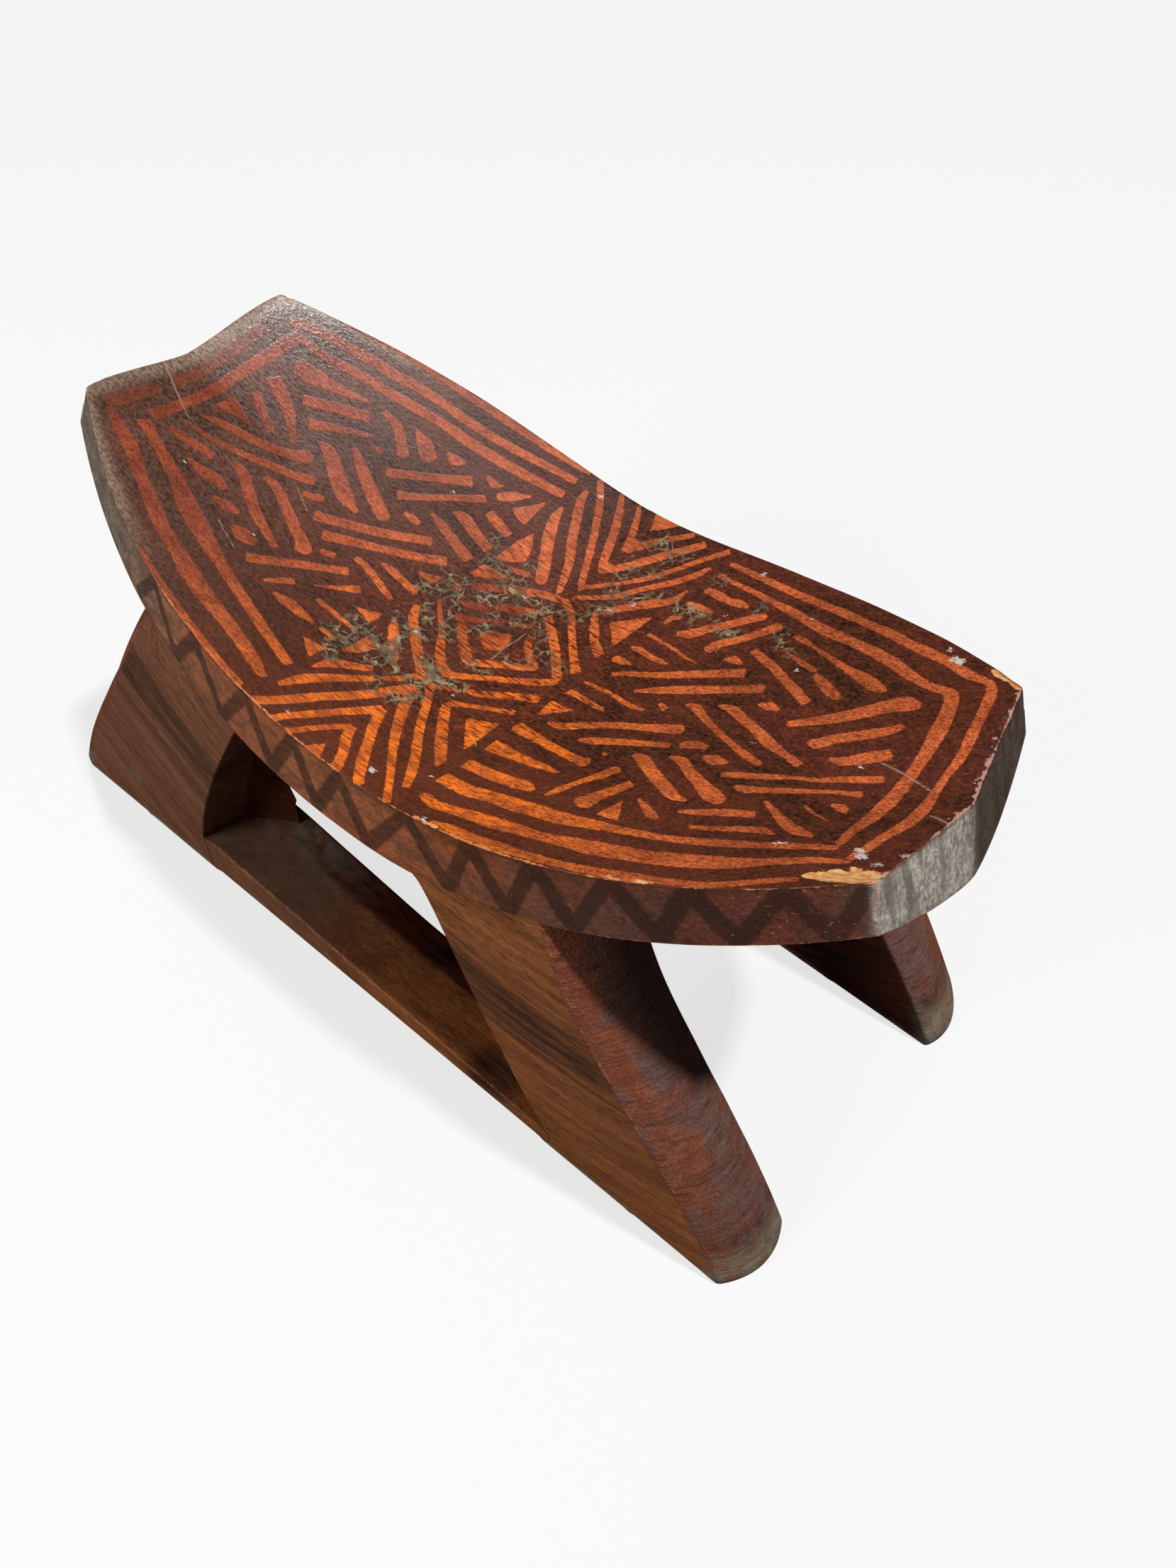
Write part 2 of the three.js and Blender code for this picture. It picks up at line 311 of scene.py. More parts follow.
    middle_far: tuple[Stroke, ...] = (
        (-35.5, 83, 1.5, -34.5, 76, 5, -30, 66, 6.5, -24, 56.5, 6, -17.5, 46, 6.5, -15.5, 42, 5),
        (-31, 37.5, 2.5, -22, 41, 3.5),
        (-32.5, 98, 2.5, -31, 91.5, 4.5, -25, 80.5, 5, -19, 70, 5, -12.5, 60.5, 4.5, -7.5, 49.5, 4,
         -4.5, 43, 2.5),
        (-31, 107, 3.5, -22.5, 96, 4, -12.5, 79, 4, -5.5, 65.5, 3.5, 0.5, 53.5, 3.5, 2.5, 51, 2.5),
        (1.5, 51.5, 2.5, 9, 58.5, 2.5, 17, 66, 2.5, 25, 74, 3.5, 33, 84.5, 3, 41, 95.5, 3, 49, 104.5, 3.5),
        (-17.5, 107.5, 2.5, -11, 97, 4.3, -5, 84, 4.5, -1, 74, 4.3, 3, 66, 4),
        (3, 66, 4, 9.5, 72.5, 4.5, 17, 82, 5, 25, 92, 5, 36, 103.5, 4.5),
        (-6.3, 107.5, 2.2, -1.5, 98.5, 3.5, 2.5, 89, 4, 4.8, 82, 4),
        (4.8, 82.5, 4, 10, 89, 4.5, 17.5, 98, 3.5, 27.5, 106.5, 3),
        (9.5, 101, 2, 16.5, 108.5, 3),
        (47, 92, 2.5, 43, 84.5, 4, 36, 76, 4, 28, 68, 3.5, 18, 56, 3.5, 10, 50, 3, 3, 44.5, 2),
        (46, 75, 1, 43.5, 67, 4.5, 37, 61.5, 6, 29, 54.5, 5, 21, 46.5, 3.5, 16.5, 42, 2.5),
        (17.5, 42.5, 3, 23, 35, 4.3, 29.5, 27, 4.5, 36.5, 21.5, 4.5),
        (0, 41, 4, 8, 36.5, 3.5, 14, 29.5, 3.5, 21, 21.5, 3.5, 28, 13.5, 4, 34.5, 6.5, 4.5),
        (0, 40.5, 4, -8, 37.5, 4.5, -17, 32.5, 5, -27, 24.5, 4.5, -36, 17, 4),
        (-42.5, 11.5, 3.5, -38.5, 10, 5),
        (1, 28, 4, 7, 23, 4.5, 14, 16.5, 4.5, 20, 10.5, 4.5, 25.5, 4, 4.5, 31, -2, 5),
        (-1, 29.5, 2.5, -10, 23.5, 3.5, -18, 17, 3.5, -26, 10, 4.5, -35, 4.5, 1.5),
        (2.1, 12.7, 3, 7.1, 6.3, 3.5, 12.9, 1.3, 3.5, 17.9, -1.6, 4),
        (-2.9, 16.3, 3, -10, 12.7, 3, -15.7, 9.1, 3, -20, 4.1, 3, -25, 0.6, 3, -29.3, -0.9, 3),
    )
    middle_near: tuple[Stroke, ...] = (
        (-45, -11.5, 3, -41.5, -18, 4.5, -34, -25, 4.5, -26, -31.5, 5, -17, -38.5, 5, -11, -43, 5),
        (-41, -1, 2, -35, -7, 2.5, -28, -13.5, 2.5, -21, -22, 4.5, -14, -29, 5, -8.5, -31.5, 5),
        (-8.5, -31.5, 4, -2, -26.5, 4, 6, -20.5, 3.5, 15, -14.5, 3.8, 24, -9, 4.5, 31.5, -3, 5),
        (-29.5, -0.5, 3, -24, -4, 5, -17.5, -11, 4.5, -11.5, -15.5, 5, -7.5, -19, 5),
        (-7.5, -19, 4, -1.5, -14.5, 4.5, 5, -9.5, 4.5, 12, -5.5, 4.5, 18, -1.5, 4),
        (-45, -26, 2, -42, -30, 5, -36.5, -36, 5, -31, -42, 5, -27, -46, 3),
        (-15.5, -42, 4, -19, -48.5, 3.5, -24, -55.5, 2.5, -29, -62.5, 3.5, -37, -73.5, 4.5, -42.5, -83, 5.5,
         -45.5, -93, 2.5),
        (-30.5, -54.5, 3.5, -37, -61, 4.5, -43, -67, 5, -45.5, -75, 1.5),
        (-42.5, -43, 7, -42.5, -50, 6.5, -45.5, -57, 2),
        (-11, -49, 6, -15.5, -56, 5.5, -20, -65, 5, -25.5, -75, 5, -30.5, -83, 4.5, -34.3, -90.7, 5,
         -39, -100, 4.8, -43.8, -108, 4.8),
        (-10, -49, 5, -8, -58, 5, -2.5, -67, 4.8, 3, -75, 4.5, 11, -85, 3.5, 19, -94, 3.3, 25, -101, 3.3,
         31, -108, 3.5),
        (-8.5, -42, 4, -3.5, -48.5, 3.5, 2.5, -58, 4, 9, -67.5, 4, 17, -77.5, 4, 24, -87, 4.5,
         29.5, -96, 3),
        (-9, -42, 3.5, -3, -38.5, 2.5, 3, -35, 2),
        (3.5, -33, 2.5, 9.5, -31, 4, 18, -25, 5, 26, -20, 5, 32, -17, 5.5),
        (30, -30.5, 3.5, 22.5, -34, 2.8, 12, -39.5, 2.8, 4.5, -44.5, 4),
        (4.5, -45.5, 4, 8.5, -51.5, 4.8, 14, -58.5, 5, 21, -67, 5.2, 26.5, -73, 5, 28.5, -77.5, 2),
        (-11, -68.5, 5, -16, -76.5, 4.5, -21, -85, 3.8, -26, -94.5, 4, -30.5, -103, 3.5, -32, -108.5, 4),
        (-11, -69, 4.5, -6.5, -78, 4.5, -0.5, -87, 4.5, 6, -96.5, 5, 12, -104, 4.5, 15.5, -108, 4.5),
        (-11.3, -86, 3.5, -15.5, -92, 3.2, -19.5, -99.5, 2.8, -22.5, -106, 3, -24, -109, 4),
        (-11, -86, 4, -7.5, -92.5, 4.5, -3, -98, 4, 1.5, -105, 4.5, 3.5, -109, 5),
    )
    right_field: tuple[Stroke, ...] = (
        (40, -5, 4, 50, -5.8, 3, 58, -7, 2.5, 61, -7.5, 1.5),
        (46, -27, 2, 52, -25.5, 4.5, 60, -19.3, 4.3, 70, -13, 4.5, 80, -8.5, 4, 88, -5, 6, 96, -1.5, 6),
        (63.5, -29, 2, 69, -26, 5, 77, -21.5, 4.5, 88, -16.5, 3.5, 97, -12.8, 3.5),
        (101, -10.5, 4, 106, -7.5, 5, 110.5, -7, 3),
        (113.5, -12.5, 2.5, 118, -12.7, 6.5, 122.5, -12, 2.5),
        (77, -30, 1.5, 79, -31, 2.5),
        (37, -37.3, 7, 46, -38, 5.5, 60, -39.3, 4.5, 70, -40, 5, 75.5, -39.8, 6),
        (36.5, -53, 8, 50, -52.6, 5.8, 62, -51.6, 3.8, 70, -51, 1.8),
        (36.5, -68.5, 6.5, 48, -68, 6.5, 58, -66.7, 6.5, 64.5, -65.3, 6.5, 68.5, -66, 3),
        (88.7, -36, 4.5, 85.5, -43, 4, 81, -51, 2.5, 77.5, -59, 3.5, 75, -65.5, 1.5),
        (98.5, -41.5, 4.5, 95.5, -48, 4.8, 92, -55.5, 6, 89.7, -62, 8.5),
        (106.5, -47.8, 1.5, 110.5, -50.3, 3, 116, -54, 4.5, 119, -55, 2),
        (88.5, -25, 3, 93.5, -26, 6, 101, -31, 6, 108, -35, 6, 116, -39.5, 5, 122, -40.2, 2),
        (101.5, -19, 2, 107, -19, 4.8, 114, -24, 5, 121, -28, 6, 128, -32, 8, 132.5, -34, 6),
        (123.5, -47, 2, 131, -43.3, 4, 140, -38.8, 4.5, 148, -36, 4.3),
        (132, -53.3, 2.2, 140, -50, 2.8, 148, -46, 3.5, 155, -43.5, 4, 159.5, -44, 1.5),
        (53.5, 79.5, 4, 60, 78.7, 5, 66, 77.5, 3.8, 72, 77.3, 5, 77, 76.7, 2),
        (51, 68.5, 3.5, 57, 68, 5, 64.5, 67.5, 2.5),
        (49.5, 53, 2, 50.5, 57.5, 3.5, 53.5, 58.7, 2),
        (58.5, 50, 3, 64, 52.5, 6, 70, 59, 5, 77, 65, 5, 83, 71, 5, 87, 74, 5),
        (76.5, 46, 4.5, 79, 51.5, 5, 86, 58, 4.3, 92, 65, 4.8, 97, 70.5, 6),
        (47.3, 43.7, 2.8, 53, 42.7, 1.8, 62, 41, 1.8, 71, 38.3, 1.6, 77.5, 37, 0.8),
        (46, 33, 2.5, 49.5, 33.5, 3.5, 56, 32, 3, 62, 31.3, 3, 66, 31.5, 1.2),
        (43.5, 23.5, 4.5, 48, 23.5, 3.8, 53, 23.3, 1),
        (49, 14.5, 3, 56, 18.5, 3.5, 64, 22, 3.5, 72, 26, 4.5, 82, 31.5, 5, 91, 36, 5, 99, 39.5, 6),
        (64, 9.7, 1.5, 71, 14, 4, 79, 18.5, 5, 89, 23.5, 5.3, 99, 28.2, 4.5, 106, 31.5, 5.5, 111, 34, 5),
        (86.5, 44, 1.5, 90, 45.2, 4.5, 94.5, 44.2, 2),
        (95, 53.3, 3.5, 102, 50, 4, 110, 46, 4.2, 118, 41, 4, 125, 36.5, 4.5, 131.5, 32, 4),
        (104, 58.5, 0.8, 111, 55.8, 1.2, 118, 53, 3, 125, 50, 2.5),
        (126, 48.5, 2.5, 131, 44.8, 4.5, 137, 41, 5, 141.5, 38, 3),
        (106, 67, 2.5, 110, 66, 3, 118, 62.8, 1.5, 127, 59, 2.5, 136, 55, 3.2, 145, 51.5, 5.5,
         151, 48.3, 5.5, 155.5, 46.5, 3),
        (115, 24.7, 1.5, 119, 25.3, 5, 123.5, 24.7, 2),
        (101, 18, 1.5, 107, 18, 5, 114, 14.5, 4.5, 122, 10.8, 4.5, 131, 5.5, 5.5, 140, 1.7, 3,
         147.5, -1.8, 4),
        (88.5, 12.5, 1.5, 93, 12.8, 4.5, 101, 8, 3.5, 110, 3.3, 3, 119, -1, 3, 127, -4.8, 4,
         134.5, -7.5, 3),
        (78.5, 8, 2.5, 82.5, 6.3, 3),
        (41.5, 3.8, 1.2, 50, 3.7, 2.5, 58, 3.2, 2.2, 66, 1.2, 2.8, 74.5, 1.3, 2),
        (131.5, 18.5, 3.5, 139, 23, 5, 147, 28, 6, 155, 34, 7, 161, 39, 7.5, 166, 41.5, 8.5, 170.5, 41, 4),
        (144, 12.3, 2, 147.5, 12, 6, 152, 16.5, 5.5, 160, 21.5, 5.5, 167, 26, 5, 171, 30, 3),
        (156, 5.5, 2, 161, 6, 5, 167, 10, 6.5, 174, 14.5, 6),
        (125, -19.5, 3, 132, -16.5, 4.2, 141, -13, 3.5, 150, -9.5, 2, 158, -7.3, 3, 165, -3.8, 3.8,
         172, -1, 4, 178, 1.5, 4),
        (133.5, -23.5, 2.5, 138, -23.5, 4.5, 147, -19.7, 3.5, 156, -16, 3, 165, -12, 2.2, 171, -10.3, 2.5,
         175, -9.3, 4),
        (169, -19, 2, 172.5, -19.5, 4.5, 175, -22, 1),
        (160.5, -23, 1.2, 165, -26, 1.5, 171.5, -28.5, 0.8),
        (147.5, -27, 2, 153, -31, 3, 159, -35.5, 4.5, 165, -38.5, 5.5, 171.5, -39.5, 2),
    )
    right_borders: tuple[Stroke, ...] = (
        (53.5, 89.5, 2.5, 63, 88, 2.5, 75, 86, 3, 84, 83.5, 3.3, 93, 81.5, 4, 102, 78.7, 4, 110, 75.8, 5,
         120, 72.7, 5.5, 130, 70.3, 4.5, 140, 67, 5, 150, 62.8, 5.5, 160, 57, 4.5, 170, 52.6, 3.5,
         178.5, 50, 4.5, 182, 40, 5.3, 183.7, 30, 6, 184.8, 20, 5, 185.2, 10, 4.3, 185.5, 0, 5,
         185, -10, 5.5, 183.8, -20, 5, 181.7, -30, 3.6, 180.7, -40, 3),
        (35.5, -81.7, 7, 48, -81.6, 7, 60, -78.6, 7, 70, -77, 8, 80, -75, 7.8, 90, -73.5, 7.4,
         100, -70.8, 6, 110, -68.3, 4.4, 120, -65.8, 3.9, 130, -63, 3.9, 140, -59.3, 4.4, 150, -55.2, 4.3,
         160, -51.2, 3.7, 170, -47, 3.7, 181.5, -42.3, 2.8),
        (54, 98, 2.5, 66, 96.3, 3.2, 80, 93.7, 3.8, 95, 90.6, 4, 110, 87.5, 4.2, 120, 85, 4.4, 130, 82, 3.6,
         140, 79, 4.5, 150, 74.5, 4, 160, 70.6, 4.5, 170, 66.4, 4, 180, 60.6, 3.8, 188.5, 57, 2.6,
         191.8, 50, 4, 193.3, 40, 3.6, 194.8, 30, 4, 196.2, 20, 3.6, 196, 10, 2.7, 196.4, 0, 3,
         196.5, -10, 4.5, 195, -20, 4.5, 191.8, -30, 3.5, 189.5, -40, 3.5, 187.5, -47, 2.5),
        (37.5, -94.7, 4.5, 45, -96.4, 5, 52, -94.8, 5, 60, -92.8, 6, 70, -91, 7.5, 80, -88.6, 6, 90, -87, 5,
         100, -84.4, 6.5, 110, -82, 8.5, 120, -78.9, 7.8, 130, -76, 7.8, 140, -72, 8.3, 150, -67.8, 7.8,
         156, -65, 6.5, 163, -61, 4.5, 170, -56.7, 4, 180, -51.4, 3.5, 187.8, -48.9, 2),
        (52, -105.5, 2.5, 60, -103.6, 5, 70, -103, 5, 80, -101.1, 5.5, 90, -99.4, 4.4, 105, -96.5, 4,
         120, -92.5, 5, 130, -89.4, 5.5, 140, -85.8, 4, 155, -80, 3.5, 168, -71, 3, 178, -64.5, 2.5),
    )
    patches: tuple[Patch, ...] = (
        ((16.5, -46.5), (30, -40), (30.3, -63.5)),
        ((26.8, 41.5), (42.3, 54), (40, 40), (37.8, 29.5)),
        ((-16, -2), (-10, 4.5), (-4, 8), (-2, 5), (-1.5, -3), (-7, -8)),
        ((-35.5, 65), (-31, 54), (-26.5, 47.5), (-33, 41), (-40.3, 36), (-39, 52)),
        ((-42, 21), (-41.5, 30), (-34, 33), (-26, 33.5), (-33, 26)),
        ((3, 109), (7.5, 98.5), (12, 104), (14.5, 109)),
        ((1.5, 91), (12, 90), (5, 80.5)),
        ((-1, 72.5), (9.5, 71.5), (2.5, 64)),
        ((-9.8, -101), (-4.5, -110), (-14.5, -110)),
        ((-48, 62.5), (-54, 63.5), (-43, 79.5), (-42.6, 60.5)),
        ((37.5, -14), (50, -14), (38.2, -26)),
        ((-177, -8.5), (-177, 3.5), (-161, -1.5)), ((-61, -35), (-50.5, -27.5), (-50.5, -37)),
        ((-61, -66), (-50.5, -63), (-50.5, -72.5)), ((102, -52), (98.5, -64.5), (108, -64)),
        ((-60, 2.5), (-50, 2.5), (-48.5, 10)),
    )

    def strokes(self) -> tuple[Stroke, ...]:
        """Every stroke on the seat's top."""
        fields = self.left_field + self.left_borders + self.middle_far
        return fields + self.middle_near + self.right_field + self.right_borders


@dataclass(frozen=True)
class SeatMarks:
    """Marks of age on the seat's top, read from the photograph.

    Flakes, cracks and chips are rows of stations as the strokes are, and each fleck is one station.
    """

    flakes: tuple[Stroke, ...] = (
        (-57, -41, 2.5, -50, -41, 3, -44, -41, 3.5, -38, -43, 3, -33, -43, 3.5, -28, -45, 3, -20, -48, 2),
        (-23, -32.5, 2, -17, -34, 4, -10, -37, 5, -4, -35.5, 3.5, 3, -33, 1.5),
        (-11, -37, 4, -11, -42, 2.5, -14, -46, 2, -21, -47.5, 1.5),
        (-36.5, -27, 1.5, -36, -33, 2.5, -34, -38, 3, -31, -42, 2),
        (-46, -22.5, 1, -42, -25, 1.5, -37, -25, 1.5, -33, -22, 1, -30, -22, 1),
        (-42, -8, 1, -39.5, -12, 2, -37, -14, 2, -35, -12.5, 1),
        (-33, -4, 1, -30, -7, 1.2, -28, -11, 1.5, -24, -11, 2, -24, -14.5, 1.5, -27, -14, 1.2),
        (-60, -53, 1.5, -54, -50, 2, -50, -47, 1.5, -48, -43, 1),
        (-52, -57, 1, -47, -53, 1.5, -44, -51, 1),
        (-38, -50, 2, -37.5, -53, 2, -33, -51, 2, -31, -46, 2),
        (-50, -62, 1, -46, -60.5, 1.5, -45, -65, 2),
        (-27, -55, 1.5, -24, -58, 1.5, -22, -62, 1.5, -24, -65, 1),
        (-8, -50, 3, -8, -54, 3, -10, -58, 2.5, -13, -61, 4),
        (-50, 14, 1, -46, 13, 1.2, -45, 9, 1.5, -43, 5, 2.5, -48, 1.5, 1.5, -52, -1, 2),
        (-40, 17.5, 1, -41, 13, 1, -37.5, 9, 1.2, -38, 4, 1.2, -33, 3, 1.2),
        (-42.5, 33, 1.5, -39, 35, 2, -34, 34, 2, -29, 35.5, 1.5, -24, 35, 1.5, -20.5, 37.5, 2.5,
         -18, 34, 1),
        (-27, 28, 2, -21, 29, 4, -15, 30, 2, -9, 31.5, 1.5, -3, 33, 2, 2, 33, 2, 9, 33.5, 2),
        (-30, 14, 2, -27, 19, 2, -23, 21.5, 1.5, -17, 24, 1, -12, 28, 1),
        (-27, 16, 2, -25, 15, 2, -21, 13.5, 1.5, -18, 10, 1, -14, 10, 1, -9, 14, 1, -5, 17, 1.2),
        (-1, 31, 2, -3, 26.5, 1.5, -6, 23, 1.5, -5, 19, 1.5),
        (1, 21.5, 1.5, 4, 18.5, 2, 6, 16, 1.5, 9, 18, 1),
        (-18, 8, 1, -16.5, 4.5, 2.5, -15, 2, 1, -18, -5, 1),
        (10, 9, 1, 14, 10, 1.5, 18, 8, 1),
        (20, 6, 1, 24, 5, 2, 28, 4, 1),
        (2, -6, 1, 8, -5, 0.8, 13, -3, 0.8),
        (14.5, 2, 1.5, 15, -1.5, 1),
        (-6, -18.5, 1, -1, -19, 1.5, 3, -19, 1),
        (12, 36, 1, 15, 39, 1.8, 14, 42.5, 1.5, 18, 46, 1.8, 23, 48, 1.5),
        (12.5, 61, 1, 16, 57, 1.5, 19, 54, 1.5),
        (13, 60, 1, 20, 59.5, 1, 27, 60, 1.5, 32, 63.5, 1.5, 40, 68, 1.2),
        (12, 68, 1, 15, 71.5, 1.5, 14, 74, 1),
        (20, 77, 1, 25, 77, 1.5, 28, 79, 1),
        (13, 92, 1.5, 17, 94, 2, 16, 98, 1.5, 27, 90, 1),
        (26, 87.5, 1.5, 28, 92, 1.5, 33, 94, 1.2),
        (46, 66, 1, 49, 63.5, 1, 51, 61, 0.8),
        (47, 64.5, 0.8, 53, 66, 1, 57, 61.5, 0.8, 60, 59, 0.8),
        (54, 66, 1, 60, 65, 1, 67, 65, 1),
        (74, 59, 1, 79, 58, 1.5, 83, 60, 1),
        (99, 68, 1, 101, 64, 2.5, 104, 60, 1.2, 110, 57, 0.8),
        (54, 87, 1, 57, 85.5, 1, 56, 89, 0.8),
        (82, 74, 0.8, 83, 78, 0.8, 84, 82, 0.8),
        (-47, 46, 1, -44, 44.5, 1.5, -46, 49, 1),
        (-26, 46, 1.5, -22, 48, 1.5),
    )
    cracks: tuple[Stroke, ...] = (
        (-1, 18, 0.8, 0, 8, 0.8, -1.5, 0, 1.2, -1, -10, 0.8),
        (-204, -13, 0.8, -190, -19, 1, -175, -25, 0.6),
        (8, 75, 0.6, 10.5, 84, 0.6),
        (-24, 70, 0.5, -20, 73.5, 0.6),
        (-19, -94.5, 0.5, -11, -94.5, 0.5),
        (-125, -8, 1, -112, -14, 0.8),
        (-127, -52, 0.8, -112, -57, 0.8),
        (172, 10, 0.8, 183, 6.5, 1, 195, 1, 0.8),
        (4, 46.5, 0.6, 9, 45, 0.8),
        (-6, 46.5, 0.8, -4.5, 43, 0.8),
        (200, -12, 1, 206, -14, 1.2),
    )
    # White flecks: some are chips of white, and some, near the right end, are painted glints of light on
    # the lacquer.
    flecks: Stroke = (
        13, -98.5, 3.8, -32, -101, 2, 48.5, -105.5, 2, 31.5, -57, 1.3, 31.5, -84.5, 1.4, -25, 100.3, 2.4,
        71.7, 97.3, 2.2, 107, 79.5, 1.5, 117.5, 48.5, 1.7, 71, 68, 1.2, 29.3, 56.3, 1.9, 22.5, 48.2, 2,
        19, 45, 1.8, 80.5, 48, 1.2, 125, 3, 1.2, 173.5, 67, 4, 171, 68.5, 3, 190, -44, 4.2, 188.5, -41, 3.4,
        196, -47, 2.6, 201, -39, 2, 163, -48, 2, 165, -47, 1.5, -79, 50, 1.6, -157, -43, 1.6,
        -114, -44, 1.5, -202, -48, 2, 167, 73, 2, 168, 5, 1.4, -35, -23, 1.2, 2, -39.3, 1.7,
        -14.5, 29.5, 1.2,
    )
    chips: tuple[Stroke, ...] = (
        (179, -62, 2, 186, -58.5, 7, 193, -55.5, 9.5, 199, -55, 7, 201, -56.5, 3),
        (186, 64, 1, 190, 62, 3, 196, 59, 3.5, 200, 56, 3),
        (-199, 60, 2, -196, 59, 3),
        (-201, -57, 3, -198, -58, 2),
        (44, -107.5, 1, 50, -107, 2.5, 56, -106.5, 1),
        (122, -93.5, 1, 130, -91.5, 2.6, 138, -88.5, 1.2),
        (-92, -103.5, 1, -85, -104.5, 2, -80, -105.5, 1),
    )


@dataclass(frozen=True)
class StoolForm:
    """Sizes of the one carved block that every member is cut from, in millimetres.

    A point is how far an end stands out past its corners, and the power of its curve.
    """

    half_length: float = 200.0
    mid_half_width: float = 109.5
    end_half_width: float = 57.0
    outline_power: float = 2.7
    point_left: Span = (5.0, 4.0)
    point_right_top: Span = (10.0, 1.0)
    point_right_under: Span = (14.0, 1.5)
    edge_middle: float = 198.0
    edge_left: float = 248.0
    edge_right: float = 262.0
    edge_power_left: float = 1.63
    edge_power_right: float = 1.58
    edge_ease: float = 0.15
    dish_middle: float = 17.0
    dish_end: float = 12.0
    dish_power_middle: float = 2.0
    dish_power_end: float = 1.4
    rim_middle: float = 38.0
    rim_end: float = 22.0
    belly_middle: float = 16.0
    belly_end: float = 25.0
    belly_power_middle: float = 2.0
    belly_power_end: float = 1.3
    flare: float = 2.5
    lean: float = 10.0
    ground_half_width: float = 110.0
    tunnel_half_width: float = 65.0
    tunnel_arch: float = 12.0
    wall_power: float = 9.0

    def outline(self, x: Array, half: float) -> Array:
        """Half width of the boat-shaped outline at x, where its tips lie at half."""
        reach = np.minimum(np.abs(x) / half, 1.0)
        return lerp(self.mid_half_width, self.end_half_width, reach**self.outline_power)

    def edge(self, x: Array, half: float) -> Array:
        """Height of the long edge.

        Args:
            x: Stations along the stool.
            half: How far its tips lie from the middle.

        Returns:
            One height for each station.
        """
        reach = np.abs(x) / half
        power = np.where(x < 0, self.edge_power_left, self.edge_power_right)
        tip = np.where(x < 0, self.edge_left, self.edge_right)
        easy = self.edge_ease
        eased = easy**power * (1.0 - power / 2 + power / 2 * (reach / easy) ** 2)
        return self.edge_middle + (tip - self.edge_middle) * np.where(reach < easy, eased, reach**power)

    def top(self, x: Array, across: Array) -> Array:
        """Height of the dished top.

        Args:
            x: Stations along the stool.
            across: Where each point lies, from -1 at the near edge to 1 at the far one.

        Returns:
            One height for each point.
        """
        reach = np.minimum(np.abs(x) / self.half_length, 1.0)
        dish = lerp(self.dish_middle, self.dish_end, reach)
        power = lerp(self.dish_power_middle, self.dish_power_end, reach)
        return self.edge(x, self.half_length) - dish * (1.0 - np.abs(across) ** power)

    def under_half_width(self, x: Array) -> Array:
        """Half width of the seat's underside at x."""
        return self.outline(x, self.half_length + self.lean) + self.flare

    def rim_lower(self, x: Array) -> Array:
        """Height of the rim's lower arris at x."""
        half = self.half_length + self.lean
        reach = np.minimum(np.abs(x) / half, 1.0)
        return self.edge(x, half) - lerp(self.rim_middle, self.rim_end, reach**2)

    def underside(self, x: Array, y: Array) -> Array:
        """Height of the bellied underside.

        Args:
            x: Places along the stool.
            y: Places across it.

        Returns:
            One height for each place.
        """
        reach = np.minimum(np.abs(x) / (self.half_length + self.lean), 1.0)
        belly = lerp(self.belly_middle, self.belly_end, reach**2)
        power = lerp(self.belly_power_middle, self.belly_power_end, reach)
        across = np.clip(y / self.under_half_width(x), -1.0, 1.0)
        return self.rim_lower(x) - belly * (1.0 - np.abs(across) ** power)

    def end_point(self, across: Array, left: Array, right: Span) -> Array:
        """How far an end stands out past its corners.

        Args:
            across: Where each point lies, from -1 at the near edge to 1 at the far one.
            left: Whether it is on the left end.
            right: How far the right end stands out, and the power of its curve.

        Returns:
            One reach for each point.
        """
        reach, power = (np.where(left, *pair) for pair in zip(self.point_left, right))
        return reach * (1 - np.abs(across) ** power)

    def wall(self, x: Array, z: Array) -> Array:
        """Half width of a wall's outer face: straight at the ground, following the rim at the top."""
        rise = np.clip(z / self.rim_lower(x), 0.0, 1.0)
        return lerp(self.ground_half_width, self.under_half_width(x), rise**self.wall_power)

    def tunnel(self, z: Array, top: Array) -> Array:
        """Half width of the tunnel at height z, drawn in under the seat as an arch."""
        rise = np.clip(z / top, 0.0, 1.0)
        return self.tunnel_half_width - self.tunnel_arch * rise**self.wall_power


FORM = StoolForm()


class Face(Enum):
    """The six sides of a mapped block, by the share that is fixed on each."""

    START = (0, 0)
    FINISH = (0, 1)
    INNER = (1, 0)
    OUTER = (1, 1)
    BOTTOM = (2, 0)
    TOP = (2, 1)


@dataclass
class Skin:
    """The skin of a mapped block: its points in millimetres and the shares they came from."""

    points: Array
    shares: Array
    quads: Array
    side: Array

    def normals(self, hidden: Sequence[Face] = ()) -> Array:
        """Unit normals at the points, taken from the faces that show.

        Args:
            hidden: Sides that lie against another member.

        Returns:
            One direction for each point.
        """
        faces = list(Face)
        shown = np.array([faces[i] not in hidden for i in range(6)])[self.side]
        quads = self.quads[shown]
        a, b, c, d = (self.points[quads[:, i]] for i in range(4))
        flat = np.cross(c - a, d - b)
        total = np.zeros_like(self.points)
        for i in range(4):
            np.add.at(total, quads[:, i], flat)
        size = np.linalg.norm(total, axis=1, keepdims=True)
        return total / np.maximum(size, TINY)

    def arris_gap(self, lengths: Sequence[float]) -> Array:
        """Distance from each point to the nearest arris, in millimetres along the skin."""
        gaps = np.minimum(self.shares, 1.0 - self.shares) * np.array(lengths)
        return np.sort(gaps, axis=1)[:, 1]


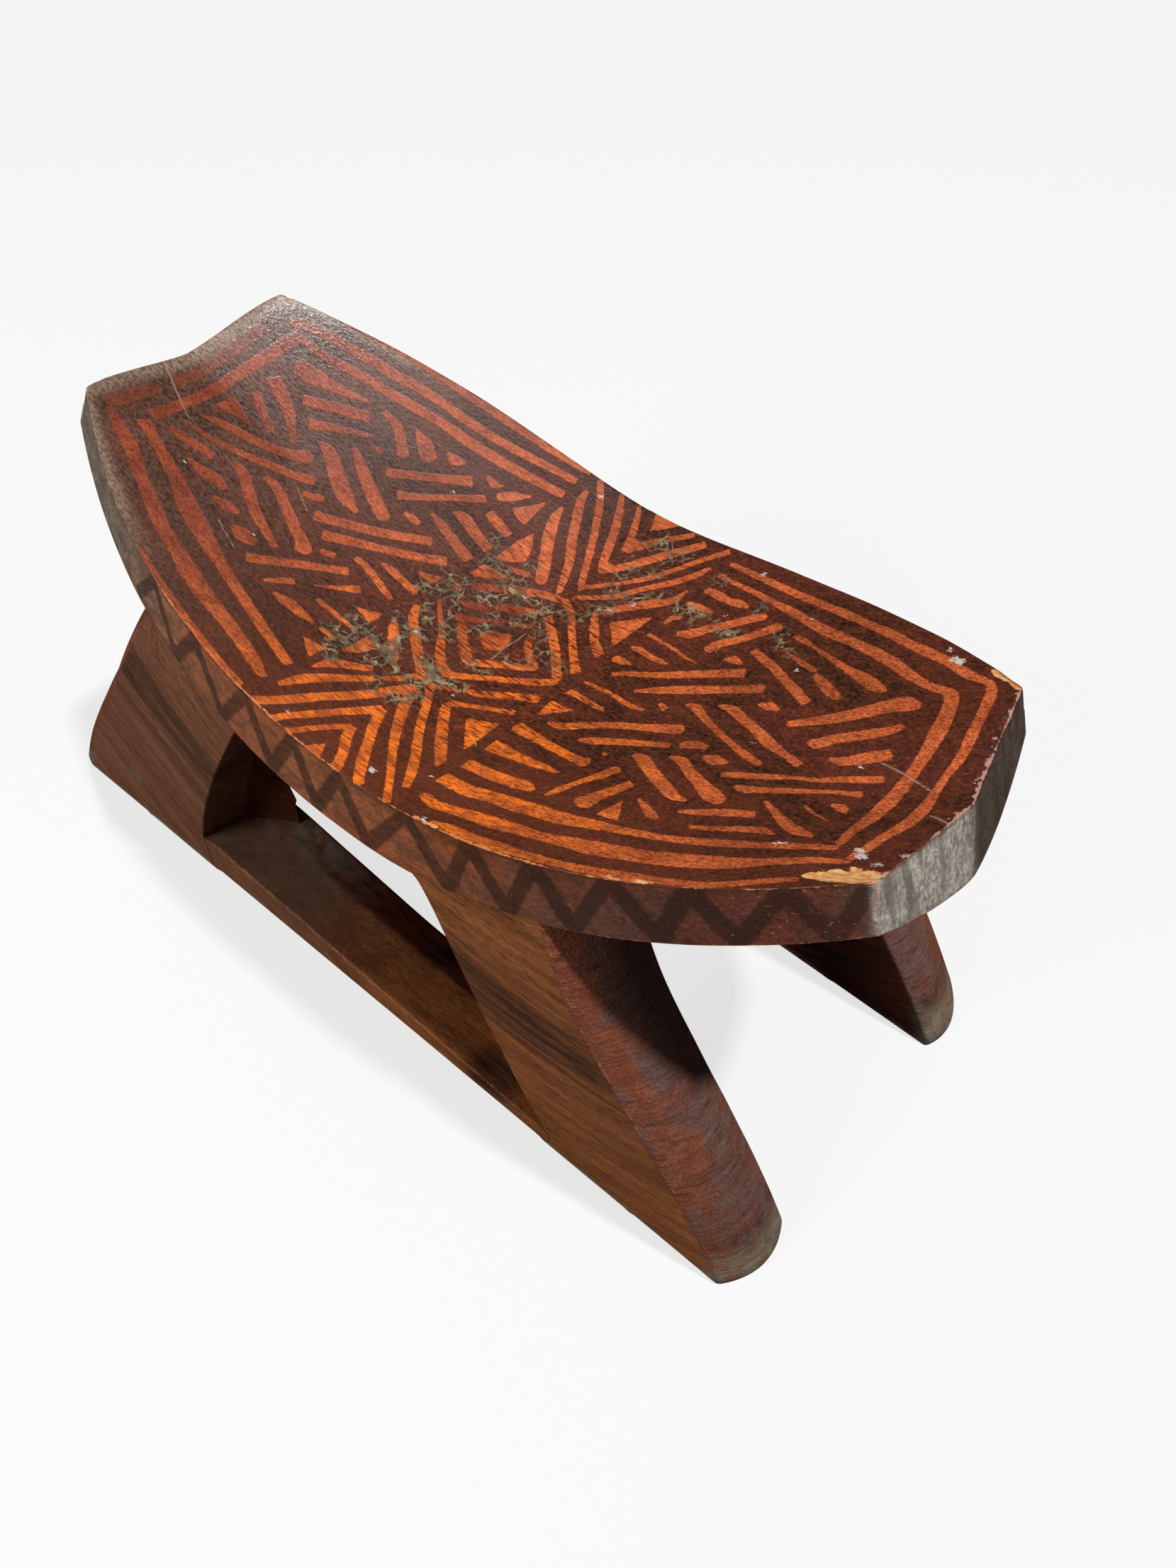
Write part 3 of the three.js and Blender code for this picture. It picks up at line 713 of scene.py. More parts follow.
@dataclass(frozen=True)
class BlockCut:
    """How a block's skin is divided and how far its arrises are rounded, in millimetres."""

    lengths: Triple
    spacing: Triple
    rounding: float

    def stations(self, axis: int) -> Array:
        """Shares along one axis, closer together where the arrises are rounded.

        Args:
            axis: Number of the axis.

        Returns:
            The shares, in order from 0 to 1.
        """
        length = self.lengths[axis]
        share = self.rounding / length
        near = share * ARRIS_ROWS
        count = max(2, math.ceil((length - 2 * self.rounding) / self.spacing[axis]) + 1)
        middle = np.linspace(share, 1.0 - share, count)
        return np.concatenate([near, middle, 1.0 - near[::-1]])

    def skin(self, place: Placer, mirrored: bool, radius: Rounding) -> Skin:
        """Cuts the block's skin.

        Args:
            place: Where the point at three arrays of shares goes.
            mirrored: Whether the mapping turns the block inside out.
            radius: Rounding in millimetres at rows of shares.

        Returns:
            The rounded skin.
        """
        runs = [self.stations(axis) for axis in range(3)]
        counts = [len(run) for run in runs]
        grid = np.stack(np.meshgrid(*[np.arange(n) for n in counts], indexing="ij"), -1)
        last = np.array(counts) - 1
        on_skin = ((grid == 0) | (grid == last)).any(axis=-1)
        number = np.full(counts, -1)
        number[on_skin] = np.arange(on_skin.sum())
        index = grid[on_skin]
        shares = np.stack([runs[axis][index[:, axis]] for axis in range(3)], -1)
        quads, sides = [], []
        for order, face in enumerate(Face):
            axis, end = face.value
            sheet = np.take(number, end * last[axis], axis=axis)
            cells = np.stack([sheet[:-1, :-1], sheet[1:, :-1], sheet[1:, 1:], sheet[:-1, 1:]], -1)
            cells = cells.reshape(-1, 4)
            outward = (end == 1) != (axis == 1)
            if outward == mirrored:
                cells = cells[:, ::-1]
            quads.append(cells)
            sides.append(np.full(len(cells), order))
        points = place(*self.round_off(shares, radius).T)
        return Skin(points, shares, np.concatenate(quads), np.concatenate(sides))

    def round_off(self, shares: Array, radius: Rounding) -> Array:
        """Shares drawn in round the arrises.

        Args:
            shares: Rows of shares on the block's six flat sides.
            radius: Rounding in millimetres at rows of shares.

        Returns:
            Rows of shares on the rounded block.
        """
        lengths = np.array(self.lengths)
        reach = radius(shares)
        inset = reach[:, None] / lengths
        core = np.clip(shares, inset, 1.0 - inset)
        arm = (shares - core) * lengths
        size = np.linalg.norm(arm, axis=1)
        stretch = np.where(size > TINY, reach / np.maximum(size, TINY), 1.0)
        return core + arm * np.minimum(stretch, 1.0)[:, None] / lengths


def make_piece(node: str, skin: Skin, traits: dict[str, Array], wood: Material) -> Object:
    """Sets a skin down as a mesh object, which rides on the stool's one body in place of a CAD node.

    Args:
        node: The CAD node that it stands for.
        skin: Its skin, in millimetres.
        traits: Values at the points that its finish reads, by name.
        wood: Its material.

    Returns:
        The new object, linked to the scene.
    """
    name = "carved_" + node
    mesh = bpy.data.meshes.new(name)
    count = len(skin.quads)
    mesh.vertices.add(len(skin.points))
    mesh.vertices.foreach_set("co", (skin.points * MM).astype(np.float32).ravel())
    mesh.loops.add(4 * count)
    mesh.loops.foreach_set("vertex_index", skin.quads.astype(np.int32).ravel())
    mesh.polygons.add(count)
    mesh.polygons.foreach_set("loop_start", np.arange(0, 4 * count, 4, dtype=np.int32))
    mesh.update(calc_edges=True)
    mesh.validate()
    for label, values in traits.items():
        layer = mesh.attributes.new(label, "FLOAT", "POINT")
        layer.data.foreach_set("value", values.astype(np.float32))
    mesh.shade_smooth()
    mesh.set_sharp_from_angle(angle=CRISP_ANGLE)
    mesh.materials.append(wood)
    piece = bpy.data.objects.new(name, mesh)
    bpy.context.scene.collection.objects.link(piece)
    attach(piece, "root")
    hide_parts(node)
    LOG.info("%s: %d points", name, len(skin.points))
    return piece


def tint(red: int, green: int, blue: int) -> Colour:
    """Colour for a socket from the red, green and blue that are seen, each 0 to 255."""
    parts = [value / 255.0 for value in (red, green, blue)]
    linear = [p / 12.92 if p <= 0.04045 else ((p + 0.055) / 1.055) ** 2.4 for p in parts]
    return (*linear, 1.0)


@dataclass(frozen=True)
class Speckle:
    """Cloudy noise cut down to a mask that is 0 at low and 1 at high.

    Its steps are lumps for each millimetre along the axes.
    """

    steps: Triple
    low: float
    high: float
    detail: float = 2.0
    warp: float = 0.0


@dataclass(frozen=True)
class Ripple:
    """Noise that swings by half of its size either way, in millimetres."""

    steps: Triple
    detail: float
    size: float


@dataclass(frozen=True)
class Spot:
    """A round place that is whole within inner of its middle and fades out at outer."""

    middle: Triple
    outer: float
    inner: float


class Bench:
    """A node tree being filled: adds nodes, feeds their inputs and hands back their outputs."""

    def __init__(self, tree: NodeTree) -> None:
        """Starts on a tree."""
        self.tree = tree

    def feed(self, socket: Socket, value: Feed) -> None:
        """Links a socket to an output, or sets it to a plain value.

        Args:
            socket: The input.
            value: What goes into it.
        """
        if isinstance(value, Socket):
            self.tree.links.new(value, socket)
        else:
            socket.default_value = value

    def node(self, kind: str, feeds: dict[str | int, Feed], **settings: object) -> Node:
        """Adds a node.

        Args:
            kind: Blender's name for the kind of node.
            feeds: What goes into its inputs, by name or number.
            settings: Its own settings.

        Returns:
            The node.
        """
        node = self.tree.nodes.new(kind)
        for name, value in settings.items():
            setattr(node, name, value)
        for key, value in feeds.items():
            self.feed(node.inputs[key], value)
        return node

    def math(self, kind: str, first: Feed, second: Feed = 0.0, clamp: bool = False) -> Socket:
        """Result of one sum on values."""
        feeds = {0: first, 1: second}
        return self.node("ShaderNodeMath", feeds, operation=kind, use_clamp=clamp).outputs[0]

    def times(self, first: Feed, second: Feed) -> Socket:
        """Product of two values."""
        return self.math("MULTIPLY", first, second)

    def plus(self, first: Feed, second: Feed) -> Socket:
        """Sum of two values."""
        return self.math("ADD", first, second)

    def lifted(self, base: Feed, value: Feed, weight: Feed) -> Socket:
        """Base plus a value times its weight."""
        return self.plus(base, self.times(value, weight))

    def blend(self, share: Feed, low: Feed, high: Feed, kind: str = "MIX") -> Socket:
        """Colour that lies share of the way from low to high."""
        feeds = {0: share, 6: low, 7: high}
        return self.node("ShaderNodeMix", feeds, data_type="RGBA", blend_type=kind).outputs[2]

    def coats(self, colour: Feed, *layers: tuple[Feed, float, Feed]) -> Socket:
        """Colour with layers laid over it in turn.

        Args:
            colour: What lies lowest.
            layers: Mask, strength and colour of each layer.

        Returns:
            The colour that is seen.
        """
        for mask, strength, coat in layers:
            colour = self.blend(self.times(mask, strength), colour, coat)
        return colour

    def shaded(self, colour: Feed, share: Feed, low: float, spread: float) -> Socket:
        """Colour darkened or lightened.

        Args:
            colour: The colour.
            share: Value from 0 to 1 that says where.
            low: What the colour is multiplied by where share is 0.
            spread: How much more that is where share is 1.

        Returns:
            The new colour.
        """
        value = self.lifted(low, share, spread)
        grey = self.node("ShaderNodeCombineColor", {0: value, 1: value, 2: value}).outputs[0]
        return self.blend(1.0, colour, grey, "MULTIPLY")

    def step(self, value: Feed, low: float, high: float) -> Socket:
        """Eased step that is 0 at low and 1 at high."""
        feeds = {0: value, 1: low, 2: high, 3: 0.0, 4: 1.0}
        return self.node("ShaderNodeMapRange", feeds, interpolation_type="SMOOTHSTEP").outputs[0]

    def stretched(self, place: Feed, steps: Sequence[float]) -> Socket:
        """Place with each axis multiplied."""
        return self.node("ShaderNodeVectorMath", {0: place, 1: steps}, operation="MULTIPLY").outputs[0]

    def noise(self, place: Feed, steps: Triple, detail: float = 2.0, warp: float = 0.0) -> Socket:
        """Cloudy noise from 0 to 1, where steps are lumps for each millimetre along the axes."""
        feeds = {"Vector": self.stretched(place, steps), "Scale": 1.0, "Detail": detail, "Distortion": warp}
        return self.node("ShaderNodeTexNoise", feeds).outputs["Fac"]

    def speckle(self, place: Feed, kind: Speckle) -> Socket:
        """Mask of one kind of speckle."""
        return self.step(self.noise(place, kind.steps, kind.detail, kind.warp), kind.low, kind.high)

    def spot(self, place: Feed, spot: Spot) -> Socket:
        """Mask of one spot."""
        away = self.node("ShaderNodeVectorMath", {0: place, 1: spot.middle}, operation="DISTANCE")
        return self.step(away.outputs["Value"], spot.outer, spot.inner)

    def trait(self, name: str) -> Socket:
        """Value that the mesh carries at its points."""
        return self.node("ShaderNodeAttribute", {}, attribute_name=name).outputs["Fac"]

    def uneven(self, name: str, place: Feed, *ripples: Ripple) -> Socket:
        """Depth that the mesh carries, made uneven.

        Args:
            name: Name of the depth.
            place: Where it is, in millimetres.
            ripples: What is added to it.

        Returns:
            The uneven depth.
        """
        depth = self.trait(name)
        for ripple in ripples:
            swing = self.math("SUBTRACT", self.noise(place, ripple.steps, ripple.detail), 0.5)
            depth = self.lifted(depth, swing, ripple.size)
        return depth

    def effect(self, group: NodeTree, feeds: dict[str, Feed]) -> bpy_prop_collection:
        """Places a shared effect with its own values.

        Args:
            group: The effect's group.
            feeds: What goes into its inputs, by name.

        Returns:
            Its outputs.
        """
        node = self.node("ShaderNodeGroup", {}, node_tree=group)
        for key, value in feeds.items():
            self.feed(node.inputs[key], value)
        return node.outputs


class SocketKind(Enum):
    """What a group's socket carries."""

    VALUE = "NodeSocketFloat"
    PLACE = "NodeSocketVector"


class Effect(Bench):
    """A shader node group with named inputs and outputs."""

    def __init__(self, name: str, inputs: dict[str, SocketKind], outputs: dict[str, SocketKind]) -> None:
        """Makes the empty group.

        Args:
            name: Its name.
            inputs: What each of its inputs carries, by name.
            outputs: What each of its outputs carries, by name.
        """
        super().__init__(bpy.data.node_groups.new(name, "ShaderNodeTree"))
        for side, sockets in (("INPUT", inputs), ("OUTPUT", outputs)):
            for label, kind in sockets.items():
                self.tree.interface.new_socket(label, in_out=side, socket_type=kind.value)
        self.source = self.node("NodeGroupInput", {}).outputs
        self.target = self.node("NodeGroupOutput", {}).inputs

    def give(self, results: dict[str, Socket]) -> NodeTree:
        """Sends results out of the group, by the outputs' names, and hands it back."""
        for label, socket in results.items():
            self.feed(self.target[label], socket)
        return self.tree


def speckled(name: str, kinds: dict[str, Speckle]) -> NodeTree:
    """Makes a shared effect out of kinds of speckle.

    Args:
        name: Name of the effect.
        kinds: The speckle that each output gives, by the output's name.

    Returns:
        A group that takes Place in millimetres and puts out masks from 0 to 1.
    """
    effect = Effect(name, {"Place": SocketKind.PLACE}, dict.fromkeys(kinds, SocketKind.VALUE))
    place = effect.source["Place"]
    return effect.give({label: effect.speckle(place, kind) for label, kind in kinds.items()})


def wood_figure() -> NodeTree:
    """Figure of the wood, whose grain runs along X: bands, streaks, lines, fibres and pores."""
    return speckled("wood_figure", {
        "Bands": Speckle((0.007, 0.045, 0.05), 0.34, 0.66, 3.0, 0.8),
        "Streaks": Speckle((0.02, 0.2, 0.24), 0.36, 0.66, 4.0, 0.4),
        "Lines": Speckle((0.06, 1.15, 1.15), 0.5, 0.62, 3.0, 0.3),
        "Fibres": Speckle((0.2, 1.6, 1.6), 0.3, 0.7, 3.0),
        "Pores": Speckle((0.22, 1.25, 1.25), 0.6, 0.68, 1.0),
    })


def age_mottle() -> NodeTree:
    """Blotches, clouds and fine specks that age leaves on stain and bare wood alike; the specks also place
    painted glints on the seat's rim.
    """
    return speckled("age_mottle", {
        "Clouds": Speckle((0.016, 0.022, 0.022), 0.35, 0.65, 3.0, 0.6),
        "Blotches": Speckle((0.08, 0.14, 0.14), 0.34, 0.66, 4.0, 0.5),
        "Grit": Speckle((0.45, 0.7, 0.7), 0.33, 0.67, 3.0),
        "Specks": Speckle((0.6, 0.8, 0.8), 0.68, 0.74, 1.0),
    })


def old_wear() -> NodeTree:
    """Wear along the arrises, ragged where hands and knocks have rubbed them.

    Returns:
        A group that takes Place, Gap, the distance to the nearest arris in millimetres, and Reach,
        how far the wear spreads from it, and puts out a mask.
    """
    sockets = {"Place": SocketKind.PLACE, "Gap": SocketKind.VALUE, "Reach": SocketKind.VALUE}
    effect = Effect("old_wear", sockets, {"Mask": SocketKind.VALUE})
    source = effect.source
    rubbed = effect.speckle(source["Place"], Speckle((0.07, 0.1, 0.1), 0.38, 0.62, 4.0))
    nicks = effect.speckle(source["Place"], Speckle((0.4, 0.5, 0.5), 0.3, 0.7, 4.0))
    share = effect.lifted(0.12, effect.times(rubbed, nicks), 1.5)
    left = effect.math("SUBTRACT", effect.times(source["Reach"], share), source["Gap"])
    return effect.give({"Mask": effect.step(left, 0.05, 0.5)})


def cross_checks() -> NodeTree:
    """Fine dark checks that open across the grain on chopped faces.

    Returns:
        A group that takes Place in millimetres and puts out a mask.
    """
    effect = Effect("cross_checks", {"Place": SocketKind.PLACE}, {"Mask": SocketKind.VALUE})
    place = effect.source["Place"]
    ridge = effect.math("SUBTRACT", effect.noise(place, (0.004, 0.009, 0.2), 1.5), 0.5)
    crack = effect.step(effect.math("ABSOLUTE", ridge), 0.01, 0.003)
    gate = effect.speckle(place, Speckle((0.05, 0.05, 0.1), 0.46, 0.54))
    return effect.give({"Mask": effect.times(crack, gate)})


@dataclass
class Effects:
    """The shared effects, each built once."""

    figure: NodeTree = field(default_factory=wood_figure)
    wear: NodeTree = field(default_factory=old_wear)
    mottle: NodeTree = field(default_factory=age_mottle)
    checks: NodeTree = field(default_factory=cross_checks)


class WoodBench(Bench):
    """A material's tree with the wood's effects already placed in it."""

    def __init__(self, slot: Slot, effects: Effects, gloss: float, bend: float) -> None:
        """Makes the material and places the effects.

        Args:
            slot: The kind of wood.
            effects: The shared effects.
            gloss: How strongly its surface mirrors.
            bend: How much its figure bends along the wood's rings.
        """
        self.material = bpy.data.materials.new(slot.value)
        self.material.use_nodes = True
        super().__init__(self.material.node_tree)
        self.inputs = self.tree.nodes["Principled BSDF"].inputs
        self.inputs["Specular IOR Level"].default_value = gloss
        raw = self.node("ShaderNodeTexCoord", {}).outputs["Object"]
        self.place = self.stretched(raw, (1.0 / MM,) * 3)
        parts = self.node("ShaderNodeSeparateXYZ", {0: self.place}).outputs
        self.along, self.out, self.up = parts["X"], parts["Y"], parts["Z"]
        off = self.math("SUBTRACT", self.along, RING_MIDDLE)
        layer = self.lifted(self.up, self.times(off, off), -bend)
        bent = self.node("ShaderNodeCombineXYZ", {0: self.along, 1: self.out, 2: layer}).outputs[0]
        self.figure = self.effect(effects.figure, {"Place": bent})
        feeds = {"Place": self.place}
        self.mottle = self.effect(effects.mottle, feeds)
        self.checks = self.effect(effects.checks, feeds)["Mask"]
        feeds.update(Gap=self.trait("arris_gap"), Reach=self.trait("wear_reach"))
        self.worn = self.effect(effects.wear, feeds)["Mask"]

    def finish(self, colour: Feed, roughness: Feed, height: Feed) -> Material:
        """Feeds the shader.

        Args:
            colour: The wood's colour.
            roughness: Its roughness.
            height: Relief in millimetres.

        Returns:
            The material.
        """
        bump = self.node("ShaderNodeBump", {"Strength": 1.0, "Distance": MM, "Height": height})
        feeds = {"Base Color": colour, "Roughness": roughness, "Normal": bump.outputs[0]}
        for name, value in feeds.items():
            self.feed(self.inputs[name], value)
        return self.material


@dataclass(frozen=True)
class SeatFinish:
    """Orange wood under a dark stain that leaves the pattern bare, all of it lacquered.

    Each span is where a change begins and where it is whole, in millimetres.
    """

    gloss: float = 0.3
    roughness: float = 0.3
    amber: Colour = tint(252, 126, 36)
    orange: Colour = tint(216, 108, 60)
    russet: Colour = tint(104, 36, 14)
    dull_red: Colour = tint(158, 80, 60)
    ruddy: Colour = tint(146, 52, 36)
    ink_brown: Colour = tint(110, 57, 36)
    ink_dark: Colour = tint(38, 27, 21)
    ink_wine: Colour = tint(90, 38, 30)
    ink_warm: Colour = tint(160, 74, 34)
    ink_dust: Colour = tint(128, 102, 88)
    # Pale colour of the painted glints on the rim, also laid on the lacquer's cracks.
    glint: Colour = tint(196, 160, 140)
    rim_tan: Colour = tint(218, 120, 64)
    rim_wine: Colour = tint(138, 73, 56)
    rim_dark: Colour = tint(66, 44, 34)
    rim_grey: Colour = tint(188, 162, 140)
    end_light: Colour = tint(232, 223, 207)
    end_dark: Colour = tint(106, 89, 79)
    cream: Colour = tint(242, 196, 130)
    white: Colour = tint(236, 230, 224)
    khaki: Colour = tint(180, 156, 116)
    slate: Colour = tint(112, 98, 74)
    peach: Colour = tint(232, 146, 84)
    rose: Colour = tint(198, 152, 136)
    hand_wobble: Ripple = Ripple((0.45, 0.45, 0.45), 3.0, 1.1)
    grain_wobble: Ripple = Ripple((0.15, 1.4, 1.4), 2.0, 0.7)
    zigzag_wobble: Ripple = Ripple((0.3, 0.3, 0.3), 3.0, 2.5)
    flake_thorns: Ripple = Ripple((0.45, 0.45, 0.45), 5.0, 6.0)
    flake_hairs: Ripple = Ripple((1.5, 1.5, 1.5), 2.0, 1.4)
    crack_wobble: Ripple = Ripple((0.9, 0.9, 0.9), 3.0, 1.0)
    chip_splinters: Ripple = Ripple((0.3, 0.4, 0.4), 4.0, 5.0)
    fleck_streaks: Ripple = Ripple((0.35, 1.3, 1.3), 3.0, 6.0)
    waist: Spot = Spot((-10.0, -5.0, 184.0), 90.0, 40.0)
    amber_spot: Spot = Spot((5.0, -80.0, 190.0), 150.0, 50.0)
    ruddy_spot: Spot = Spot((-22.0, 12.0, 184.0), 34.0, 12.0)
    ink_flecks: Speckle = Speckle((0.4, 1.0, 1.0), 0.54, 0.64)
    ink_grain: Speckle = Speckle((0.35, 0.8, 0.8), 0.4, 0.62, 3.0)
    end_cuts: Speckle = Speckle((0.7, 0.5, 0.16), 0.42, 0.6, 3.0, 0.6)
    end_bands: Speckle = Speckle((0.02, 0.13, 0.012), 0.46, 0.54)
    flake_tone: Speckle = Speckle((0.2, 0.2, 0.2), 0.4, 0.62, 3.0)
    chip_grain: Speckle = Speckle((0.12, 0.7, 0.7), 0.4, 0.6, 3.0)
    web_warp: float = 0.3
    web_swing: float = 5.0
    web_cells: float = 0.18
    faint_left: Span = (-184.0, -196.0)
    coarse_right: Span = (-60.0, 10.0)
    dull_left: Span = (10.0, -170.0)
    warm_near: Span = (-20.0, -100.0)
    dusty_left: Span = (-40.0, -180.0)
    # Where the painted sheen along the worn near-left arris begins and is whole, along the seat and in from
    # the arris.
    worn_sheen_left: Span = (-110.0, -165.0)
    worn_sheen_gap: Span = (11.0, 3.0)
    polished_left: Span = (-120.0, -175.0)
    rosy_right: Span = (150.0, 195.0)
    wine_right: Span = (20.0, 150.0)
    grey_left: Span = (-60.0, -170.0)
    glinting_right: Span = (120.0, 190.0)
    far_facet: Span = (-8.0, 8.0)

    def build(self, effects: Effects) -> Material:
        """Makes the seat's material.

        Args:
            effects: The shared effects.

        Returns:
            The material.
        """
        wood = WoodBench(Slot.SEAT, effects, self.gloss, 0.0)
        figure, mottle = wood.figure, wood.mottle
        depth = wood.uneven("stroke_depth", wood.place, self.hand_wobble, self.grain_wobble)
        faint = wood.step(wood.along, *self.faint_left)
        stroke = wood.times(wood.step(depth, -0.25, 0.3), wood.lifted(1.0, faint, -0.6))
        coarse = wood.lifted(0.3, wood.step(wood.along, *self.coarse_right), 0.25)
        coarse = wood.lifted(coarse, wood.spot(wood.place, self.waist), 0.4)
        top = wood.blend(stroke, self.ink(wood, coarse), self.bare(wood, coarse))
        top = wood.shaded(top, mottle["Clouds"], 0.84, 0.3)
        sides = wood.blend(wood.trait("end_side"), self.rim(wood), self.ends(wood))
        colour = wood.blend(wood.trait("top_side"), sides, top)
        worn = wood.blend(wood.step(wood.along, *self.rosy_right), self.peach, self.rose)
        colour, chalk = self.marked(wood, wood.coats(colour, (wood.worn, 0.9, worn)))
        height = wood.times(figure["Lines"], wood.times(coarse, -0.07))
        height = wood.lifted(height, mottle["Grit"], 0.06)
        height = wood.lifted(height, stroke, -0.05)
        height = wood.lifted(height, chalk, -0.12)
        rough = wood.lifted(self.roughness, wood.step(wood.along, *self.polished_left), -0.12)
        rough = wood.lifted(rough, mottle["Grit"], 0.12)
        rough = wood.lifted(rough, wood.math("MAXIMUM", wood.worn, chalk), 0.3)
        return wood.finish(colour, rough, height)

    def bare(self, wood: WoodBench, coarse: Feed) -> Socket:
        """Colour of the strokes.

        Args:
            wood: The material's bench.
            coarse: How strongly the grain's lines show.

        Returns:
            Amber at the right and near the middle, redder and duller toward the left end.
        """
        figure, mottle = wood.figure, wood.mottle
        rich = wood.times(wood.spot(wood.place, self.amber_spot), wood.lifted(0.3, mottle["Blotches"], 0.7))
        warm = wood.coats(
            wood.blend(rich, self.orange, self.amber),
            (wood.step(wood.along, *self.dull_left), 0.8, self.dull_red),
            (wood.spot(wood.place, self.ruddy_spot), 0.7, self.ruddy),
            (wood.times(figure["Lines"], coarse), 1.0, self.russet),
            (figure["Pores"], 0.6, self.russet),
        )
        warm = wood.shaded(warm, mottle["Grit"], 0.9, 0.2)
        warm = wood.shaded(warm, mottle["Blotches"], 0.78, 0.36)
        return wood.shaded(warm, figure["Fibres"], 0.72, 0.5)

    def ink(self, wood: WoodBench, coarse: Feed) -> Socket:
        """Colour of the stain.

        Args:
            wood: The material's bench.
            coarse: How strongly the grain's lines show.

        Returns:
            Dark brown, wine red in places, warmer at the near side and dusty at the left, with a painted
            sheen of grey specks along the near-left arris.
        """
        figure, mottle = wood.figure, wood.mottle
        brown = wood.times(figure["Streaks"], 0.5)
        brown = wood.math("ADD", brown, wood.times(mottle["Grit"], 0.6), clamp=True)
        flecks = wood.times(wood.speckle(wood.place, self.ink_flecks), coarse)
        grain = wood.lifted(0.1, wood.speckle(wood.place, self.ink_grain), 0.55)
        dusty = wood.times(wood.step(wood.along, *self.dusty_left), grain)
        # Painted sheen: grey grit specks along the near-left arris stand in for light glittering on the
        # worn lacquer there.
        worn_sheen = wood.step(wood.trait("arris_gap"), *self.worn_sheen_gap)
        worn_sheen = wood.times(worn_sheen, wood.step(wood.along, *self.worn_sheen_left))
        return wood.coats(
            wood.blend(brown, self.ink_dark, self.ink_brown),
            (mottle["Clouds"], 0.5, self.ink_wine),
            (wood.step(wood.out, *self.warm_near), 0.5, self.ink_brown),
            (flecks, 0.75, self.ink_warm),
            (figure["Pores"], 0.5, self.ink_dark),
            (dusty, 1.0, self.ink_dust),
            (wood.times(worn_sheen, wood.lifted(0.2, mottle["Grit"], 0.6)), 1.0, self.rim_grey),
            (mottle["Specks"], 0.4, self.dull_red),
        )

    def rim(self, wood: WoodBench) -> Socket:
        """Colour of the long rims and the underside, with the dark zigzag on the rims.

        Args:
            wood: The material's bench.

        Returns:
            Tan, wine red toward the right and grey toward the left, with painted glints toward the right
            end.
        """
        figure, mottle = wood.figure, wood.mottle
        depth = wood.uneven("zigzag_depth", wood.place, self.zigzag_wobble)
        stroke = wood.times(wood.step(depth, -0.8, 0.8), wood.lifted(0.5, mottle["Grit"], 0.4))
        # Painted glints: pale specks, thickest toward the right end, stand in for light glinting on the
        # lacquer.
        glints = wood.lifted(0.15, wood.step(wood.along, *self.glinting_right), 0.5)
        tan = wood.coats(
            wood.blend(wood.step(wood.along, *self.wine_right), self.rim_tan, self.rim_wine),
            (wood.step(wood.along, *self.grey_left), 1.0, self.rim_grey),
            (mottle["Blotches"], 0.5, self.rim_dark),
            (mottle["Clouds"], 0.15, self.rim_grey),
            (figure["Pores"], 0.5, self.rim_dark),
            (stroke, 1.0, self.rim_dark),
            (wood.times(mottle["Specks"], glints), 1.0, self.glint),
        )
        return wood.shaded(tan, mottle["Grit"], 0.78, 0.36)

    def ends(self, wood: WoodBench) -> Socket:
        """Colour of the weathered end faces.

        Args:
            wood: The material's bench.

        Returns:
            Pale grey, with painted light on the near facets and painted shade on the darker far facets.
        """
        mottle = wood.mottle
        cuts = wood.times(wood.speckle(wood.place, self.end_cuts), 0.5)
        bands = wood.times(wood.speckle(wood.place, self.end_bands), 0.6)
        streaks = wood.math("MAXIMUM", cuts, bands)
        light = wood.blend(streaks, self.end_light, self.end_dark)
        dark = wood.blend(streaks, self.end_dark, self.rim_dark)
        # Painted light and shade: the near facet is painted pale and the far facet dark, as the light falls
        # on them; the streaks are tool marks.
        face = wood.blend(wood.step(wood.out, *self.far_facet), light, dark)
        face = wood.coats(face, (mottle["Blotches"], 0.35, self.rim_dark))
        return wood.shaded(face, mottle["Grit"], 0.85, 0.35)

    def lacquer_web(self, wood: WoodBench) -> Socket:
        """Fine net of cracks in the lacquer around the flakes.

        Args:
            wood: The material's bench.

        Returns:
            A mask.
        """
        noisy = {"Vector": wood.stretched(wood.place, (self.web_warp,) * 3), "Scale": 1.0}
        warp = wood.node("ShaderNodeTexNoise", noisy).outputs["Color"]
        feeds = {0: warp, 1: (self.web_swing,) * 3, 2: wood.place}
        bent = wood.node("ShaderNodeVectorMath", feeds, operation="MULTIPLY_ADD").outputs[0]
        cells = {"Vector": wood.stretched(bent, (self.web_cells,) * 3), "Scale": 1.0}
        edges = wood.node("ShaderNodeTexVoronoi", cells, feature="DISTANCE_TO_EDGE").outputs[0]
        return wood.step(edges, 0.1, 0.05)

